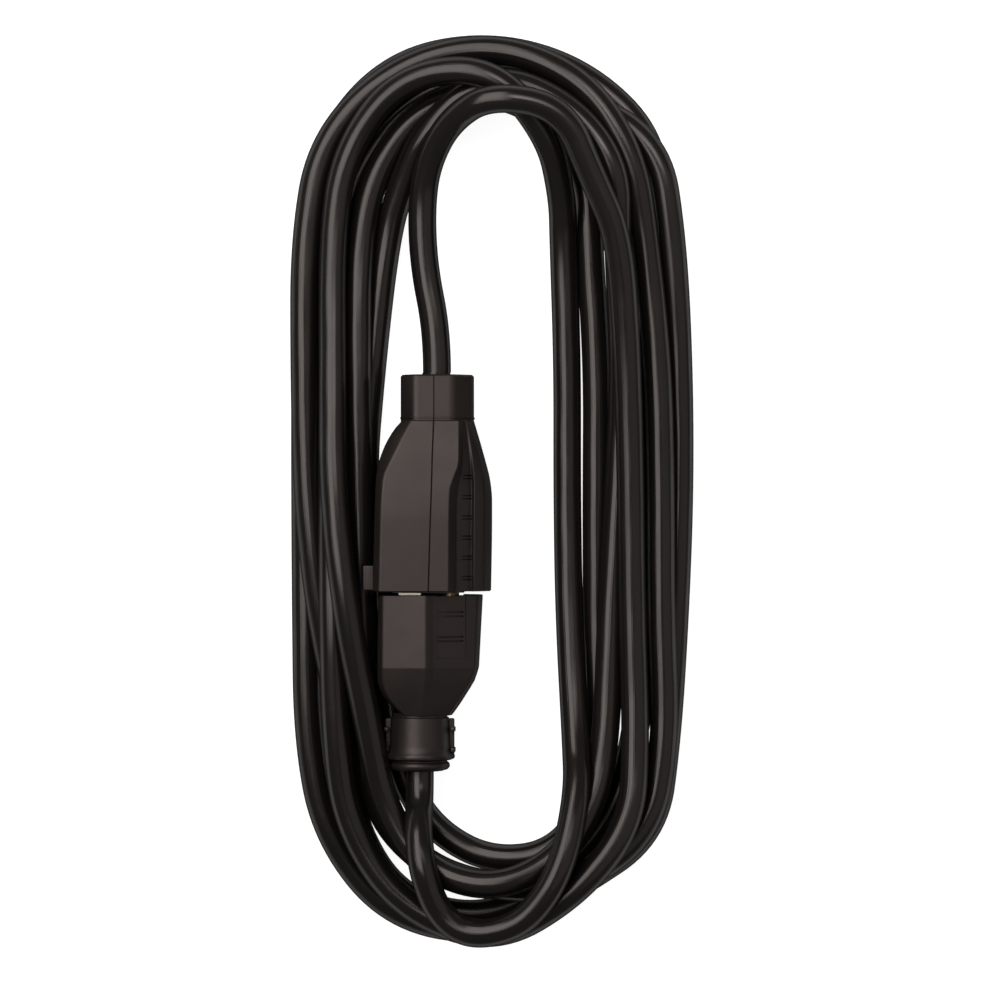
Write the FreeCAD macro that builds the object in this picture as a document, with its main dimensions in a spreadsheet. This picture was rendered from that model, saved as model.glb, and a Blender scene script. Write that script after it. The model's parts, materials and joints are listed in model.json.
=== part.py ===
import FreeCAD, Part
import math
import os
import re

import Sketcher

# An outdoor extension cord, wound as an oblong coil that lies flat.
# Its two ends are mated in the coil's left half.
# +X is to the right of the coil, +Y runs from the plug to the female connector, +Z is up from the surface.
# The origin is on that surface, under the middle of the mated connector and plug.

# Driving dimensions in millimetres, as name, value and meaning
DIMENSIONS = [
    ("cord_dia", 8.2, "outside of the round jacket"),
    ("conductor_dia", 2.8, "outside of one insulated conductor"),
    ("strand_dia", 1.5, "bare copper strand bundle"),
    ("lay_radius", 1.72, "cord axis to a conductor's axis"),
    ("jacket_grip", 6.0, "length of conductor held inside the jacket's end"),
    ("jacket_inset", 6.0, "how far the jacket reaches past the collar into a body"),
    ("connector_width", 34.4, "across the connector at its mouth"),
    ("connector_thick", 28.0, "between the connector's two flat sides"),
    ("connector_body_length", 50.0, "mouth to neck"),
    ("connector_collar_length", 14.0, "neck to the end of the collar"),
    ("connector_collar_dia", 20.6, "outside of the connector's collar"),
    ("connector_exit_x", 1.0, "offset of the connector's cord from the middle"),
    ("connector_left_taper", 17.2, "length of the rounded left shoulder"),
    ("connector_left_bend", 22.3, "radius of the rounded left shoulder"),
    ("connector_right_taper", 23.0, "length of the slim right shoulder"),
    ("connector_right_bend", 44.9, "radius of the slim right shoulder"),
    ("connector_slope_length", 28.0, "length of the slope from flat side to neck"),
    ("connector_edge_round", 2.4, "rounding of the left edges"),
    ("connector_nose_round", 2.0, "rounding of the nose"),
    ("flat_edge_x", 4.7, "where a flat side ends at its grip channel"),
    ("channel_wall_run", 2.4, "grip channel wall, across"),
    ("channel_wall_drop", 3.5, "grip channel wall, down"),
    ("channel_floor_run", 4.1, "grip channel floor, across"),
    ("channel_floor_drop", 2.9, "grip channel floor, down"),
    ("channel_lip_run", 0.8, "grip channel lip, across"),
    ("channel_lip_rise", 1.2, "grip channel lip, up"),
    ("connector_nose_half", 3.0, "half height of the blunt nose"),
    ("rib_width", 1.2, "grip rib along the connector"),
    ("rib_rise", 0.7, "grip rib above the channel floor"),
    ("rib_pitch", 5.85, "spacing of the connector's grip ribs"),
    ("rib_first", 4.0, "mouth to the first grip rib"),
    ("rib_count", 6, "grip ribs along each channel"),
    ("lug_length", 7.5, "length of the small lug on the left side"),
    ("lug_width", 5.0, "height of the small lug on the left side"),
    ("lug_reach", 2.6, "how far the lug stands out"),
    ("mate_gap", 1.3, "plug face to connector face as it lies"),
    ("plug_left", 15.8, "middle to the plug's flat end"),
    ("plug_right", 14.2, "middle to the plug's nose"),
    ("plug_thick", 25.4, "between the plug's two flat sides"),
    ("plug_body_length", 34.5, "plug face to neck"),
    ("plug_ridge_x", -0.3, "where a flat side meets its bevel"),
    ("plug_nose_half", 2.6, "half height of the plug's blunt nose"),
    ("plug_taper", 13.6, "length of the taper to the neck"),
    ("plug_left_bend", 15.2, "radius of the rounded left shoulder"),
    ("plug_neck_left", 8.8, "middle to the left side of the neck"),
    ("plug_neck_right", 5.6, "middle to the right side of the neck"),
    ("plug_neck_half", 8.6, "half height of the neck"),
    ("plug_edge_round", 2.2, "rounding of the flat end's edges"),
    ("plug_ridge_round", 1.6, "rounding of the ridge and the nose"),
    ("panel_length", 18.5, "recessed grip panel along the plug"),
    ("panel_margin", 1.6, "panel to the ridge and to the nose, across"),
    ("panel_depth", 0.8, "depth of the recessed grip panel"),
    ("panel_rib_first", 5.0, "plug face to the first panel rib"),
    ("panel_rib_pitch", 7.1, "spacing of the panel ribs"),
    ("plug_collar_length", 12.3, "length of the plug's strain relief collar"),
    ("plug_collar_dia", 18.2, "collar at the neck"),
    ("plug_collar_flare", 1.4, "growth of the collar's diameter to its rim"),
    ("plug_ring_length", 3.9, "length of the end ring"),
    ("plug_ring_dia", 16.7, "outside of the end ring"),
    ("wing_span", 20.6, "across the collar's two side wings"),
    ("wing_thick", 6.4, "height of a side wing"),
    ("rung_width", 1.2, "cross rung on a wing, along the cord"),
    ("rung_rise", 0.8, "cross rung above its wing"),
    ("rung_pitch", 6.1, "spacing of the cross rungs"),
    ("rung_first", 3.2, "neck to the first cross rung"),
    ("plug_exit_x", -3.8, "offset of the plug's cord from the middle"),
    ("collar_stub_dia", 13.0, "connector collar's stub inside the body"),
    ("relief_stub_dia", 9.8, "strain relief's stub inside the plug"),
    ("stub_length", 4.0, "length of either stub"),
    ("blade_width", 6.35, "flat blade, across"),
    ("blade_thick", 1.5, "flat blade, thickness"),
    ("blade_length", 17.5, "blade beyond the plug face"),
    ("blade_pitch", 12.7, "blade to blade"),
    ("blade_x", -6.6, "blade centre from the middle"),
    ("blade_corner", 1.4, "cut corner at a blade's tip"),
    ("blade_hole_dia", 3.2, "hole near a blade's tip"),
    ("blade_hole_back", 4.6, "blade tip to the hole's centre"),
    ("pin_offset", 11.9, "blades' line to the ground pin"),
    ("pin_dia", 4.75, "round ground pin"),
    ("pin_length", 21.4, "pin beyond the plug face"),
    ("pin_tip_round", 1.7, "rounding of the pin's tip"),
    ("bridge_length", 8.0, "depth of the plug's blade bridge"),
    ("block_length", 24.0, "depth of the connector's contact block"),
    ("block_wall", 1.5, "plastic beside a blade or pin"),
    ("bridge_corner", 6.5, "cut corner of the bridge at the ground side"),
    ("block_roof", 1.0, "plastic over a blade's cavity"),
    ("block_corner", 4.5, "cut corner of the block at the ground side"),
    ("slot_clearance", 0.35, "slot beyond its blade, each side"),
    ("mouth_wall", 3.0, "front wall of the block"),
    ("cavity_room", 1.9, "cavity beyond a blade's face"),
    ("contact_clearance", 0.06, "contact to blade or pin"),
    ("clip_setback", 0.2, "front wall to the contacts"),
    ("leaf_thick", 0.5, "sheet of a contact"),
    ("leaf_width", 5.6, "contact leaf, across"),
    ("leaf_flare", 0.9, "spread of the leaves' lips"),
    ("leaf_lip", 2.2, "length of a flared lip"),
    ("clip_length", 15.6, "lip to the back of a clip"),
    ("sleeve_length", 19.4, "length of the ground contact's sleeve"),
    ("barrel_dia", 3.2, "outside of a crimp barrel"),
    ("barrel_length", 6.5, "length of a crimp barrel"),
    ("barrel_clearance", 0.03, "barrel bore beyond the strand"),
    ("strip_length", 5.0, "bare strand held in a barrel"),
    ("straight_run", 3.5, "conductor's straight run at either end"),
    ("coil_left", 41.8, "middle to the coil's left side"),
    ("coil_width", 117.8, "across the coil"),
    ("coil_top", 156.6, "middle to the coil's far end"),
    ("coil_length", 266.1, "along the coil"),
    ("coil_clearance", 0.4, "coil to the connector"),
    ("coil_right_band", 40.9, "width of the coil's right band"),
    ("coil_top_band", 22.2, "width of the coil's far band"),
    ("coil_bottom_band", 29.2, "width of the coil's near band"),
    ("coil_side_height", 16.2, "height of the coil's side bands"),
    ("coil_end_height", 22.0, "height of the coil's end bands"),
    ("coil_ramp", 24.0, "length of the slope between the two heights"),
    ("coil_round", 5.0, "rounding of the coil's outer edges"),
    ("coil_entry", 5.0, "how far a lead runs into the coil"),
]

doc = FreeCAD.newDocument("extension_cord")
sheet = doc.addObject("Spreadsheet::Sheet", "Dims")
for row, (alias, number, meaning) in enumerate(DIMENSIONS, start=1):
    sheet.set(f"A{row}", alias)
    sheet.set(f"B{row}", str(number))
    sheet.setAlias(f"B{row}", alias)
    sheet.set(f"C{row}", meaning)
doc.recompute()

ALIASES = {alias for alias, number, meaning in DIMENSIONS}
PLANE_SIGN = {"XY_Plane": 1, "XZ_Plane": -1, "YZ_Plane": 1}
TOWARD_CONNECTOR = FreeCAD.Rotation(FreeCAD.Vector(1, 0, 0), -90)
TOWARD_PLUG = FreeCAD.Rotation(FreeCAD.Vector(1, 0, 0), 90)
OUTSIDE = "1"
CLOSE = 1e-3


# Places along Y and Z that several pieces share
PLUG_LENGTH = "(plug_body_length + plug_collar_length + plug_ring_length)"
CONNECTOR_LENGTH = "(connector_body_length + connector_collar_length)"
END = f"(({CONNECTOR_LENGTH} + mate_gap + {PLUG_LENGTH}) / 2)"
NECK = f"({END} - connector_collar_length)"
MOUTH = f"({END} - {CONNECTOR_LENGTH})"
PLUG_FACE = f"({MOUTH} - mate_gap)"
PLUG_NECK = f"({PLUG_FACE} - plug_body_length)"
RIM = f"({PLUG_NECK} - plug_collar_length)"
AXIS_HEIGHT = "(connector_thick / 2)"
PIN_X = "(blade_x + pin_offset)"


def in_sheet(word):
    """A size's name as its cell, and any other word as it is."""
    return f"Dims.{word.group(0)}" if word.group(0) in ALIASES else word.group(0)


def bound(text):
    """The expression with each size's name pointing at its cell."""
    return re.sub(r"[a-z][a-z_]*", in_sheet, text)


def amount(text):
    """The value that an expression has now."""
    return float(sheet.evalExpression(bound(text)))


def bind(thing, **expressions):
    """Ties properties of an object to the sheet, with a double underscore for a dot."""
    for name, text in expressions.items():
        thing.setExpression(name.replace("__", "."), bound(text))


def place(thing, x="0", y="0", z="0"):
    """Ties an object's position to the sheet, with z counted from the axis of the mated pair."""
    bind(thing, Placement__Base__x=x, Placement__Base__y=y, Placement__Base__z=f"{AXIS_HEIGHT} + {z}")


# Helpers for PartDesign bodies


def new_body(name, on_axis=True):
    body = doc.addObject("PartDesign::Body", name)
    if on_axis:
        place(body)
    return body


def add_arc(sketch, start, end, radius, side):
    """An arc from start to end, bulging to the left of that direction for side 1 and to the right for -1."""
    chord = end - start
    half = chord.Length / 2
    height = math.sqrt(max(radius * radius - half * half, 0))
    across = FreeCAD.Vector(-chord.y, chord.x, 0) / chord.Length
    centre = (start + end) / 2 - across * side * height
    circle = Part.Circle(centre, FreeCAD.Vector(0, 0, 1), radius)
    first, last = (end, start) if side > 0 else (start, end)
    arc = Part.ArcOfCircle(circle, circle.parameter(first), circle.parameter(last))
    sketch.addGeometry(arc, False)
    return (2, 1) if side > 0 else (1, 2)


def add_loop(sketch, corners, bends):
    """A closed outline whose corners are pairs of expressions; bends gives radius and side of the arcs."""
    first = len(sketch.Geometry)
    places = [FreeCAD.Vector(amount(x), amount(y), 0) for x, y in corners]
    ends = []
    for index, start in enumerate(places):
        end = places[(index + 1) % len(places)]
        if index in bends:
            radius, side = bends[index]
            ends.append(add_arc(sketch, start, end, amount(radius), side))
        else:
            sketch.addGeometry(Part.LineSegment(start, end), False)
            ends.append((1, 2))
    for index, (start_point, end_point) in enumerate(ends):
        after = (index + 1) % len(ends)
        joined = Sketcher.Constraint("Coincident", first + index, end_point, first + after, ends[after][0])
        sketch.addConstraint(joined)
    for index, (x, y) in enumerate(corners):
        for kind, text in (("DistanceX", x), ("DistanceY", y)):
            rule = Sketcher.Constraint(kind, -1, 1, first + index, ends[index][0], amount(text))
            sketch.setExpression(f"Constraints[{sketch.addConstraint(rule)}]", bound(text))
    for index, (radius, side) in bends.items():
        rule = Sketcher.Constraint("Radius", first + index, amount(radius))
        sketch.setExpression(f"Constraints[{sketch.addConstraint(rule)}]", bound(radius))


def add_circle(sketch, x, y, radius):
    centre = FreeCAD.Vector(amount(x), amount(y), 0)
    number = sketch.addGeometry(Part.Circle(centre, FreeCAD.Vector(0, 0, 1), amount(radius)), False)
    for kind, text in (("DistanceX", x), ("DistanceY", y)):
        rule = Sketcher.Constraint(kind, -1, 1, number, 3, amount(text))
        sketch.setExpression(f"Constraints[{sketch.addConstraint(rule)}]", bound(text))
    rule = Sketcher.Constraint("Radius", number, amount(radius))
    sketch.setExpression(f"Constraints[{sketch.addConstraint(rule)}]", bound(radius))


def slab(body, kind, name, role, start, end, loops=(), circles=()):
    """A Pad or Pocket of the loops, from start to end along the axis that the plane lacks."""
    sketch = body.newObject("Sketcher::SketchObject", name + "_sketch")
    plane = [feature for feature in body.Origin.OriginFeatures if feature.Role == role][0]
    sketch.AttachmentSupport = [(plane, "")]
    sketch.MapMode = "FlatFace"
    sign = PLANE_SIGN[role]
    bind(sketch, AttachmentOffset__Base__z=f"{sign} * ({start})")
    for corners, bends in loops:
        add_loop(sketch, corners, bends)
    for x, y, radius in circles:
        add_circle(sketch, x, y, radius)
    feature = body.newObject(f"PartDesign::{kind}", name)
    feature.Profile = sketch
    bind(feature, Length=f"{end} - ({start})")
    feature.Reversed = (sign < 0) == (kind == "Pad")
    doc.recompute()
    return feature


def runs_along_y(edge, corners):
    """Whether an edge runs along Y at one of the corners, each an x and a z."""
    a, b = edge.Vertexes[0].Point, edge.Vertexes[-1].Point
    level = math.hypot(a.x - b.x, a.z - b.z) < CLOSE
    return level and any(math.hypot(a.x - x, a.z - z) < CLOSE for x, z in corners)


def round_edges(body, name, radius, corners):
    """Rounds the edges along Y at the given corners and at their mirror images below the axis."""
    wanted = [(amount(x), amount(z) * side) for x, z in corners for side in (1, -1)]
    base = body.Tip
    edges = [f"Edge{n}" for n, edge in enumerate(base.Shape.Edges, start=1) if runs_along_y(edge, wanted)]
    fillet = body.newObject("PartDesign::Fillet", name)
    fillet.Base = (base, edges)
    bind(fillet, Radius=radius)
    doc.recompute()


def mirrored(upper):
    """A closed section from its upper half, which runs from left to right."""
    return upper + [(x, f"-({z})") for x, z in reversed(upper)]


# Helpers for Part objects


def rod(name, radius, start, length, rotation, x="0", z="0"):
    """A cylinder along the axis of the pair."""
    cylinder = doc.addObject("Part::Cylinder", name)
    cylinder.Placement = FreeCAD.Placement(FreeCAD.Vector(), rotation)
    bind(cylinder, Radius=radius, Height=length)
    place(cylinder, x, start, z)
    return cylinder


def box(name, x, y, z, width, length, height):
    """A box centred on x and z, from y on along +Y."""
    block = doc.addObject("Part::Box", name)
    bind(block, Length=width, Width=length, Height=height)
    place(block, f"({x}) - ({width}) / 2", y, f"({z}) - ({height}) / 2")
    return block


def fused(name, pieces):
    group = doc.addObject("Part::MultiFuse", name)
    group.Shapes = pieces
    return group


def cut(name, base, tool):
    result = doc.addObject("Part::Cut", name)
    result.Base = base
    result.Tool = tool
    return result


def route(points):
    """Straight runs joined by arcs as large as the shorter run beside each point allows, with their radii."""
    edges, radii = [], []
    start = points[0]
    for before, point, after in zip(points, points[1:], points[2:]):
        back, on = before - point, after - point
        shorter = min(back.Length, on.Length)
        half_turn = (math.pi - back.getAngle(on)) / 2
        reach = 0.45 * shorter
        enter = point + back.normalize() * reach
        leave = point + on.normalize() * reach
        radius = reach / math.tan(half_turn)
        inward = (enter + leave) / 2 - point
        to_centre = math.hypot(reach, radius)
        middle = point + inward.normalize() * (to_centre - radius)
        edges.append(Part.LineSegment(start, enter).toShape())
        edges.append(Part.Arc(enter, middle, leave).toShape())
        radii.append(radius)
        start = leave
    edges.append(Part.LineSegment(start, points[-1]).toShape())
    return edges, radii


def tube(edges, radius):
    """A round tube along a route's edges."""
    path = Part.Wire(edges)
    start = edges[0].Vertexes[0].Point
    ahead = edges[0].tangentAt(edges[0].FirstParameter)
    ring = Part.Wire([Part.Circle(start, ahead, radius).toShape()])
    return path.makePipeShell([ring], True, False)


def feature(name, shape, lifted=True):
    """A plain feature whose shape stands relative to the axis of the pair, or to the floor."""
    thing = doc.addObject("Part::Feature", name)
    thing.Shape = shape
    if lifted:
        thing.Placement = FreeCAD.Placement(FreeCAD.Vector(0, 0, amount(AXIS_HEIGHT)), FreeCAD.Rotation())
    return thing


nodes = {}


def keep(name, thing):
    """Registers an object as one of the assembly's pieces."""
    thing.Label = name
    nodes[name] = thing
    return thing


# The inner blocks of both ends share one cross-section, pointed towards the ground side
BLOCK_LEFT = "(blade_x - blade_width / 2 - slot_clearance - block_wall)"
BLOCK_RIGHT = f"({PIN_X} + pin_dia / 2 + block_wall)"
BLOCK_HALF = "(blade_pitch / 2 + blade_thick / 2 + cavity_room + block_roof)"
BRIDGE_HALF = "(blade_pitch / 2 + blade_thick / 2 + block_wall)"


def block_blank(name, start, end, half, corner):
    upper = [
        (BLOCK_LEFT, half),
        (f"{BLOCK_RIGHT} - {corner}", half),
        (BLOCK_RIGHT, f"{half} - {corner}"),
    ]
    body = new_body(name)
    slab(body, "Pad", name + "_pad", "XZ_Plane", start, end, [(mirrored(upper), {})])
    return body


# The three poles as name, x and z of the contact
POLES = [
    ("hot", "blade_x", "(blade_pitch / 2)"),
    ("neutral", "blade_x", "(-blade_pitch / 2)"),
    ("ground", PIN_X, "0"),
]


# Where each conductor lies around the cord's axis, in degrees from +X towards +Z
LAY_ANGLE = {"hot": 120, "neutral": -120, "ground": 0}


def conductors(side, barrels_end, jacket_end, exit_x, way):
    """The three insulated conductors and their copper strands, from the crimp barrels to the jacket's end.

    way is 1 where the conductors run towards +Y and -1 where they run towards -Y.
    """
    insulated, copper = [], []
    for pole, x, z in POLES:
        turn = math.radians(LAY_ANGLE[pole])
        lay_x = amount(exit_x) + amount("lay_radius") * math.cos(turn)
        lay_z = amount("lay_radius") * math.sin(turn)
        start_y = amount(barrels_end[pole])
        end_y = amount(jacket_end)
        run = amount("straight_run") * way
        grip = amount("jacket_grip") * way
        ahead = FreeCAD.Vector(0, way, 0)
        points = [
            FreeCAD.Vector(amount(x), start_y, amount(z)),
            FreeCAD.Vector(amount(x), start_y + run, amount(z)),
            FreeCAD.Vector(lay_x, end_y - run / 2, lay_z),
            FreeCAD.Vector(lay_x, end_y + grip, lay_z),
        ]
        edges, radii = route(points)
        strand_start = points[0] - ahead * amount("strip_length")
        bare_end = Part.LineSegment(strand_start, points[0]).toShape()
        strand = tube([bare_end] + edges, amount("strand_dia / 2"))
        cover = tube(edges, amount("conductor_dia / 2")).cut(tube(edges, amount("strand_dia / 2")))
        insulated.append(keep(f"{side}_{pole}_insulation", feature(f"{side}_{pole}_insulation", cover)))
        copper.append(keep(f"{side}_{pole}_copper", feature(f"{side}_{pole}_copper", strand)))
        print(side, pole, "conductor radii", [round(radius, 1) for radius in radii])
    return insulated, copper


# Female connector: inner parts
CLIP_START = f"({MOUTH} + mouth_wall + clip_setback)"
CLIP_END = f"({CLIP_START} + clip_length)"
SLEEVE_END = f"({CLIP_START} + sleeve_length)"
BLOCK_END = f"({MOUTH} + block_length)"
LEAF_IN = "(blade_thick / 2 + contact_clearance)"
LEAF_OUT = f"({LEAF_IN} + leaf_thick)"
BORE_RADIUS = "(strand_dia / 2 + barrel_clearance)"


def leaf_clip(pole, x, z):
    """A sheet clip that grips a blade from both faces, with its lips spread, and its crimp barrel."""
    lip_end = f"({CLIP_START} + leaf_lip)"
    body = new_body(f"clip_{pole}")
    place(body, x, "0", z)
    upper = [
        (CLIP_START, f"{LEAF_OUT} + leaf_flare"),
        (lip_end, LEAF_OUT),
        (CLIP_END, LEAF_OUT),
    ]
    inner = [
        (f"{CLIP_END} - leaf_thick", LEAF_IN),
        (lip_end, LEAF_IN),
        (CLIP_START, f"{LEAF_IN} + leaf_flare"),
    ]
    lower = [(y, f"-({height})") for y, height in reversed(upper)]
    lower_inner = [(y, f"-({height})") for y, height in reversed(inner)]
    outline = upper + lower + lower_inner + inner
    slab(body, "Pad", f"clip_{pole}_pad", "YZ_Plane", "-leaf_width / 2", "leaf_width / 2", [(outline, {})])
    barrel = rod(f"barrel_{pole}", "barrel_dia / 2", CLIP_END, "barrel_length", TOWARD_CONNECTOR, x, z)
    bore_start = f"{CLIP_END} + barrel_length - strip_length"
    bore = rod(f"bore_{pole}", BORE_RADIUS, bore_start, "strip_length", TOWARD_CONNECTOR, x, z)
    return cut(f"contact_{pole}", fused(f"clip_and_barrel_{pole}", [body, barrel]), bore), barrel


def ground_sleeve():
    """A round sleeve that grips the ground pin, with a closed back and a crimp barrel."""
    outer_radius = "pin_dia / 2 + contact_clearance + leaf_thick"
    sleeve = rod("sleeve", outer_radius, CLIP_START, "sleeve_length", TOWARD_CONNECTOR, PIN_X)
    hollow_radius, hollow_length = "pin_dia / 2 + contact_clearance", "sleeve_length - leaf_thick"
    hollow = rod("sleeve_hollow", hollow_radius, CLIP_START, hollow_length, TOWARD_CONNECTOR, PIN_X)
    barrel = rod("barrel_ground", "barrel_dia / 2", SLEEVE_END, "barrel_length", TOWARD_CONNECTOR, PIN_X)
    bore_start = f"{SLEEVE_END} + barrel_length - strip_length"
    bore = rod("bore_ground", BORE_RADIUS, bore_start, "strip_length", TOWARD_CONNECTOR, PIN_X)
    solid = fused("sleeve_and_barrel", [sleeve, barrel])
    return cut("contact_ground", solid, fused("sleeve_holes", [hollow, bore])), barrel


hot_contact, hot_barrel = leaf_clip(*POLES[0])
neutral_contact, neutral_barrel = leaf_clip(*POLES[1])
ground_contact, ground_barrel = ground_sleeve()
keep("connector_hot_contact", hot_contact)
keep("connector_neutral_contact", neutral_contact)
keep("connector_ground_contact", ground_contact)
connector_barrels = [hot_barrel, neutral_barrel, ground_barrel]


def contact_block():
    """The block with two blade slots and a ground hole, and a cavity behind each for its contact."""
    blank = block_blank("connector_blank", MOUTH, BLOCK_END, BLOCK_HALF, "block_corner")
    behind_wall = f"({MOUTH} + mouth_wall)"
    cuts = []
    for pole, x, z in POLES[:2]:
        slot_width = "blade_width + 2 * slot_clearance"
        slot_height = "blade_thick + 2 * slot_clearance"
        cuts.append(box(f"slot_{pole}", x, MOUTH, z, slot_width, "mouth_wall", slot_height))
        cavity_height = "blade_thick + 2 * cavity_room"
        cavity_length = f"{CLIP_END} - {behind_wall}"
        cuts.append(box(f"cavity_{pole}", x, behind_wall, z, slot_width, cavity_length, cavity_height))
    hole_radius = "pin_dia / 2 + slot_clearance"
    ground_hole = rod("ground_hole", hole_radius, MOUTH, "mouth_wall", TOWARD_CONNECTOR, PIN_X)
    seat_length = f"{SLEEVE_END} - {behind_wall}"
    seat_radius = "pin_dia / 2 + contact_clearance + leaf_thick"
    seat = rod("ground_seat", seat_radius, behind_wall, seat_length, TOWARD_CONNECTOR, PIN_X)
    tool = fused("block_cuts", cuts + [ground_hole, seat] + connector_barrels)
    return blank, cut("contact_block_cut", blank, tool)


connector_blank, block = contact_block()
keep("connector_contact_block", block)

JACKET_START = f"({NECK} - jacket_inset)"
connector_wires, connector_strands = conductors(
    "connector",
    {
        "hot": f"{CLIP_END} + barrel_length",
        "neutral": f"{CLIP_END} + barrel_length",
        "ground": f"{SLEEVE_END} + barrel_length",
    },
    JACKET_START,
    "connector_exit_x",
    1,
)


def jacket_end(side, start, length, rotation, exit_x, wires, strands):
    """The end of the cord's jacket inside a collar, bored for its three conductors."""
    blank = rod(f"{side}_jacket_blank", "cord_dia / 2", start, length, rotation, exit_x)
    return blank, cut(f"{side}_jacket_end_cut", blank, fused(f"{side}_jacket_bores", wires + strands))


jacket_length = "jacket_inset + connector_collar_length"
connector_jacket_blank, connector_jacket = jacket_end(
    "connector",
    JACKET_START,
    jacket_length,
    TOWARD_CONNECTOR,
    "connector_exit_x",
    connector_wires,
    connector_strands,
)
keep("connector_jacket_end", connector_jacket)


# Female connector: collar and moulded body


def connector_collar():
    """A collar around the cord, with a stub that sits in the body."""
    length, exit_x = "connector_collar_length", "connector_exit_x"
    start = f"{NECK} - stub_length"
    outer = rod("collar_outer", "connector_collar_dia / 2", NECK, length, TOWARD_CONNECTOR, exit_x)
    stub = rod("collar_stub", "collar_stub_dia / 2", start, "stub_length", TOWARD_CONNECTOR, exit_x)
    bore = rod("collar_bore", "cord_dia / 2", start, f"{length} + stub_length", TOWARD_CONNECTOR, exit_x)
    return stub, cut("collar_cut", fused("collar_solid", [outer, stub]), bore)


collar_stub, collar = connector_collar()
keep("connector_collar", collar)

CHANNEL_X = "(flat_edge_x + channel_wall_run)"
CHANNEL_Z = "(connector_thick / 2 - channel_wall_drop)"
CHANNEL_END_X = f"({CHANNEL_X} + channel_floor_run)"
CHANNEL_END_Z = f"({CHANNEL_Z} - channel_floor_drop)"


def connector_outside():
    """The moulded body: flat sides, a grip channel along each bevel and a blunt nose on the ground side."""
    half_width, half_thick = "connector_width / 2", "connector_thick / 2"
    upper = [
        (f"-{half_width}", half_thick),
        ("flat_edge_x", half_thick),
        (CHANNEL_X, CHANNEL_Z),
        (CHANNEL_END_X, CHANNEL_END_Z),
        (f"{CHANNEL_END_X} + channel_lip_run", f"{CHANNEL_END_Z} + channel_lip_rise"),
        (half_width, "connector_nose_half"),
    ]
    body = new_body("connector_outside")
    slab(body, "Pad", "connector_section", "XZ_Plane", MOUTH, NECK, [(mirrored(upper), {})])
    round_edges(body, "connector_left_edges", "connector_edge_round", upper[:1])
    round_edges(body, "connector_nose", "connector_nose_round", upper[-1:])

    # grip ribs across both channels
    rib = [
        (CHANNEL_X, f"{CHANNEL_Z} - rib_rise"),
        (CHANNEL_END_X, f"{CHANNEL_END_Z} - rib_rise"),
        (CHANNEL_END_X, f"{CHANNEL_END_Z} + rib_rise"),
        (CHANNEL_X, f"{CHANNEL_Z} + rib_rise"),
    ]
    below = [(x, f"-({z})") for x, z in rib]
    first = f"{MOUTH} + rib_first"
    ribs = slab(body, "Pad", "grip_rib", "XZ_Plane", first, f"{first} + rib_width", [(rib, {}), (below, {})])
    pattern = body.newObject("PartDesign::LinearPattern", "grip_ribs")
    pattern.Originals = [ribs]
    pattern.Direction = (ribs.Profile[0], ["N_Axis"])
    pattern.Reversed = True
    bind(pattern, Occurrences="rib_count", Length="(rib_count - 1) * rib_pitch")
    body.Tip = pattern
    doc.recompute()

    # shoulders seen from above
    left, collar_left = f"-{half_width}", "(connector_exit_x - connector_collar_dia / 2)"
    right, collar_right = half_width, "(connector_exit_x + connector_collar_dia / 2)"
    past = f"{NECK} + {OUTSIDE}"
    left_shoulder = [
        (left, f"{NECK} - connector_left_taper"),
        (collar_left, NECK),
        (collar_left, past),
        (f"{left} - {OUTSIDE}", past),
        (f"{left} - {OUTSIDE}", f"{NECK} - connector_left_taper"),
    ]
    right_shoulder = [
        (right, f"{NECK} - connector_right_taper"),
        (collar_right, NECK),
        (collar_right, past),
        (f"{right} + {OUTSIDE}", past),
        (f"{right} + {OUTSIDE}", f"{NECK} - connector_right_taper"),
    ]
    loops = [
        (left_shoulder, {0: ("connector_left_bend", 1)}),
        (right_shoulder, {0: ("connector_right_bend", -1)}),
    ]
    through = (f"-{half_thick} - {OUTSIDE}", f"{half_thick} + {OUTSIDE}")
    slab(body, "Pocket", "connector_shoulders", "XY_Plane", *through, loops)

    # slopes seen from the side
    slope = [
        (f"{NECK} - connector_slope_length", half_thick),
        (NECK, "connector_collar_dia / 2"),
        (past, "connector_collar_dia / 2"),
        (past, f"{half_thick} + {OUTSIDE}"),
        (f"{NECK} - connector_slope_length", f"{half_thick} + {OUTSIDE}"),
    ]
    under = [(y, f"-({z})") for y, z in slope]
    across = (f"-{half_width} - {OUTSIDE}", f"{half_width} + {OUTSIDE}")
    slab(body, "Pocket", "connector_slopes", "YZ_Plane", *across, [(slope, {}), (under, {})])

    # small lug low on the left side, near the mouth
    lug_top = f"-{half_thick} + connector_edge_round + lug_width"
    lug = [
        (f"-{half_width} - lug_reach", f"{lug_top} - lug_reach"),
        (f"-{half_width} - lug_reach", f"{lug_top} - lug_width"),
        (f"-{half_width} + lug_reach", f"{lug_top} - lug_width"),
        (f"-{half_width} + lug_reach", lug_top),
        (f"-{half_width}", lug_top),
    ]
    slab(body, "Pad", "side_lug", "XZ_Plane", MOUTH, f"{MOUTH} + lug_length", [(lug, {})])
    return body


connector_tools = [connector_blank, connector_jacket_blank, collar_stub]
connector_tools += connector_barrels + connector_wires + connector_strands
connector_body = cut("connector_body_cut", connector_outside(), fused("connector_inside", connector_tools))
keep("connector_body", connector_body)


# Male plug: blades, ground pin and bridge
BRIDGE_END = f"({PLUG_FACE} - bridge_length)"


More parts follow.
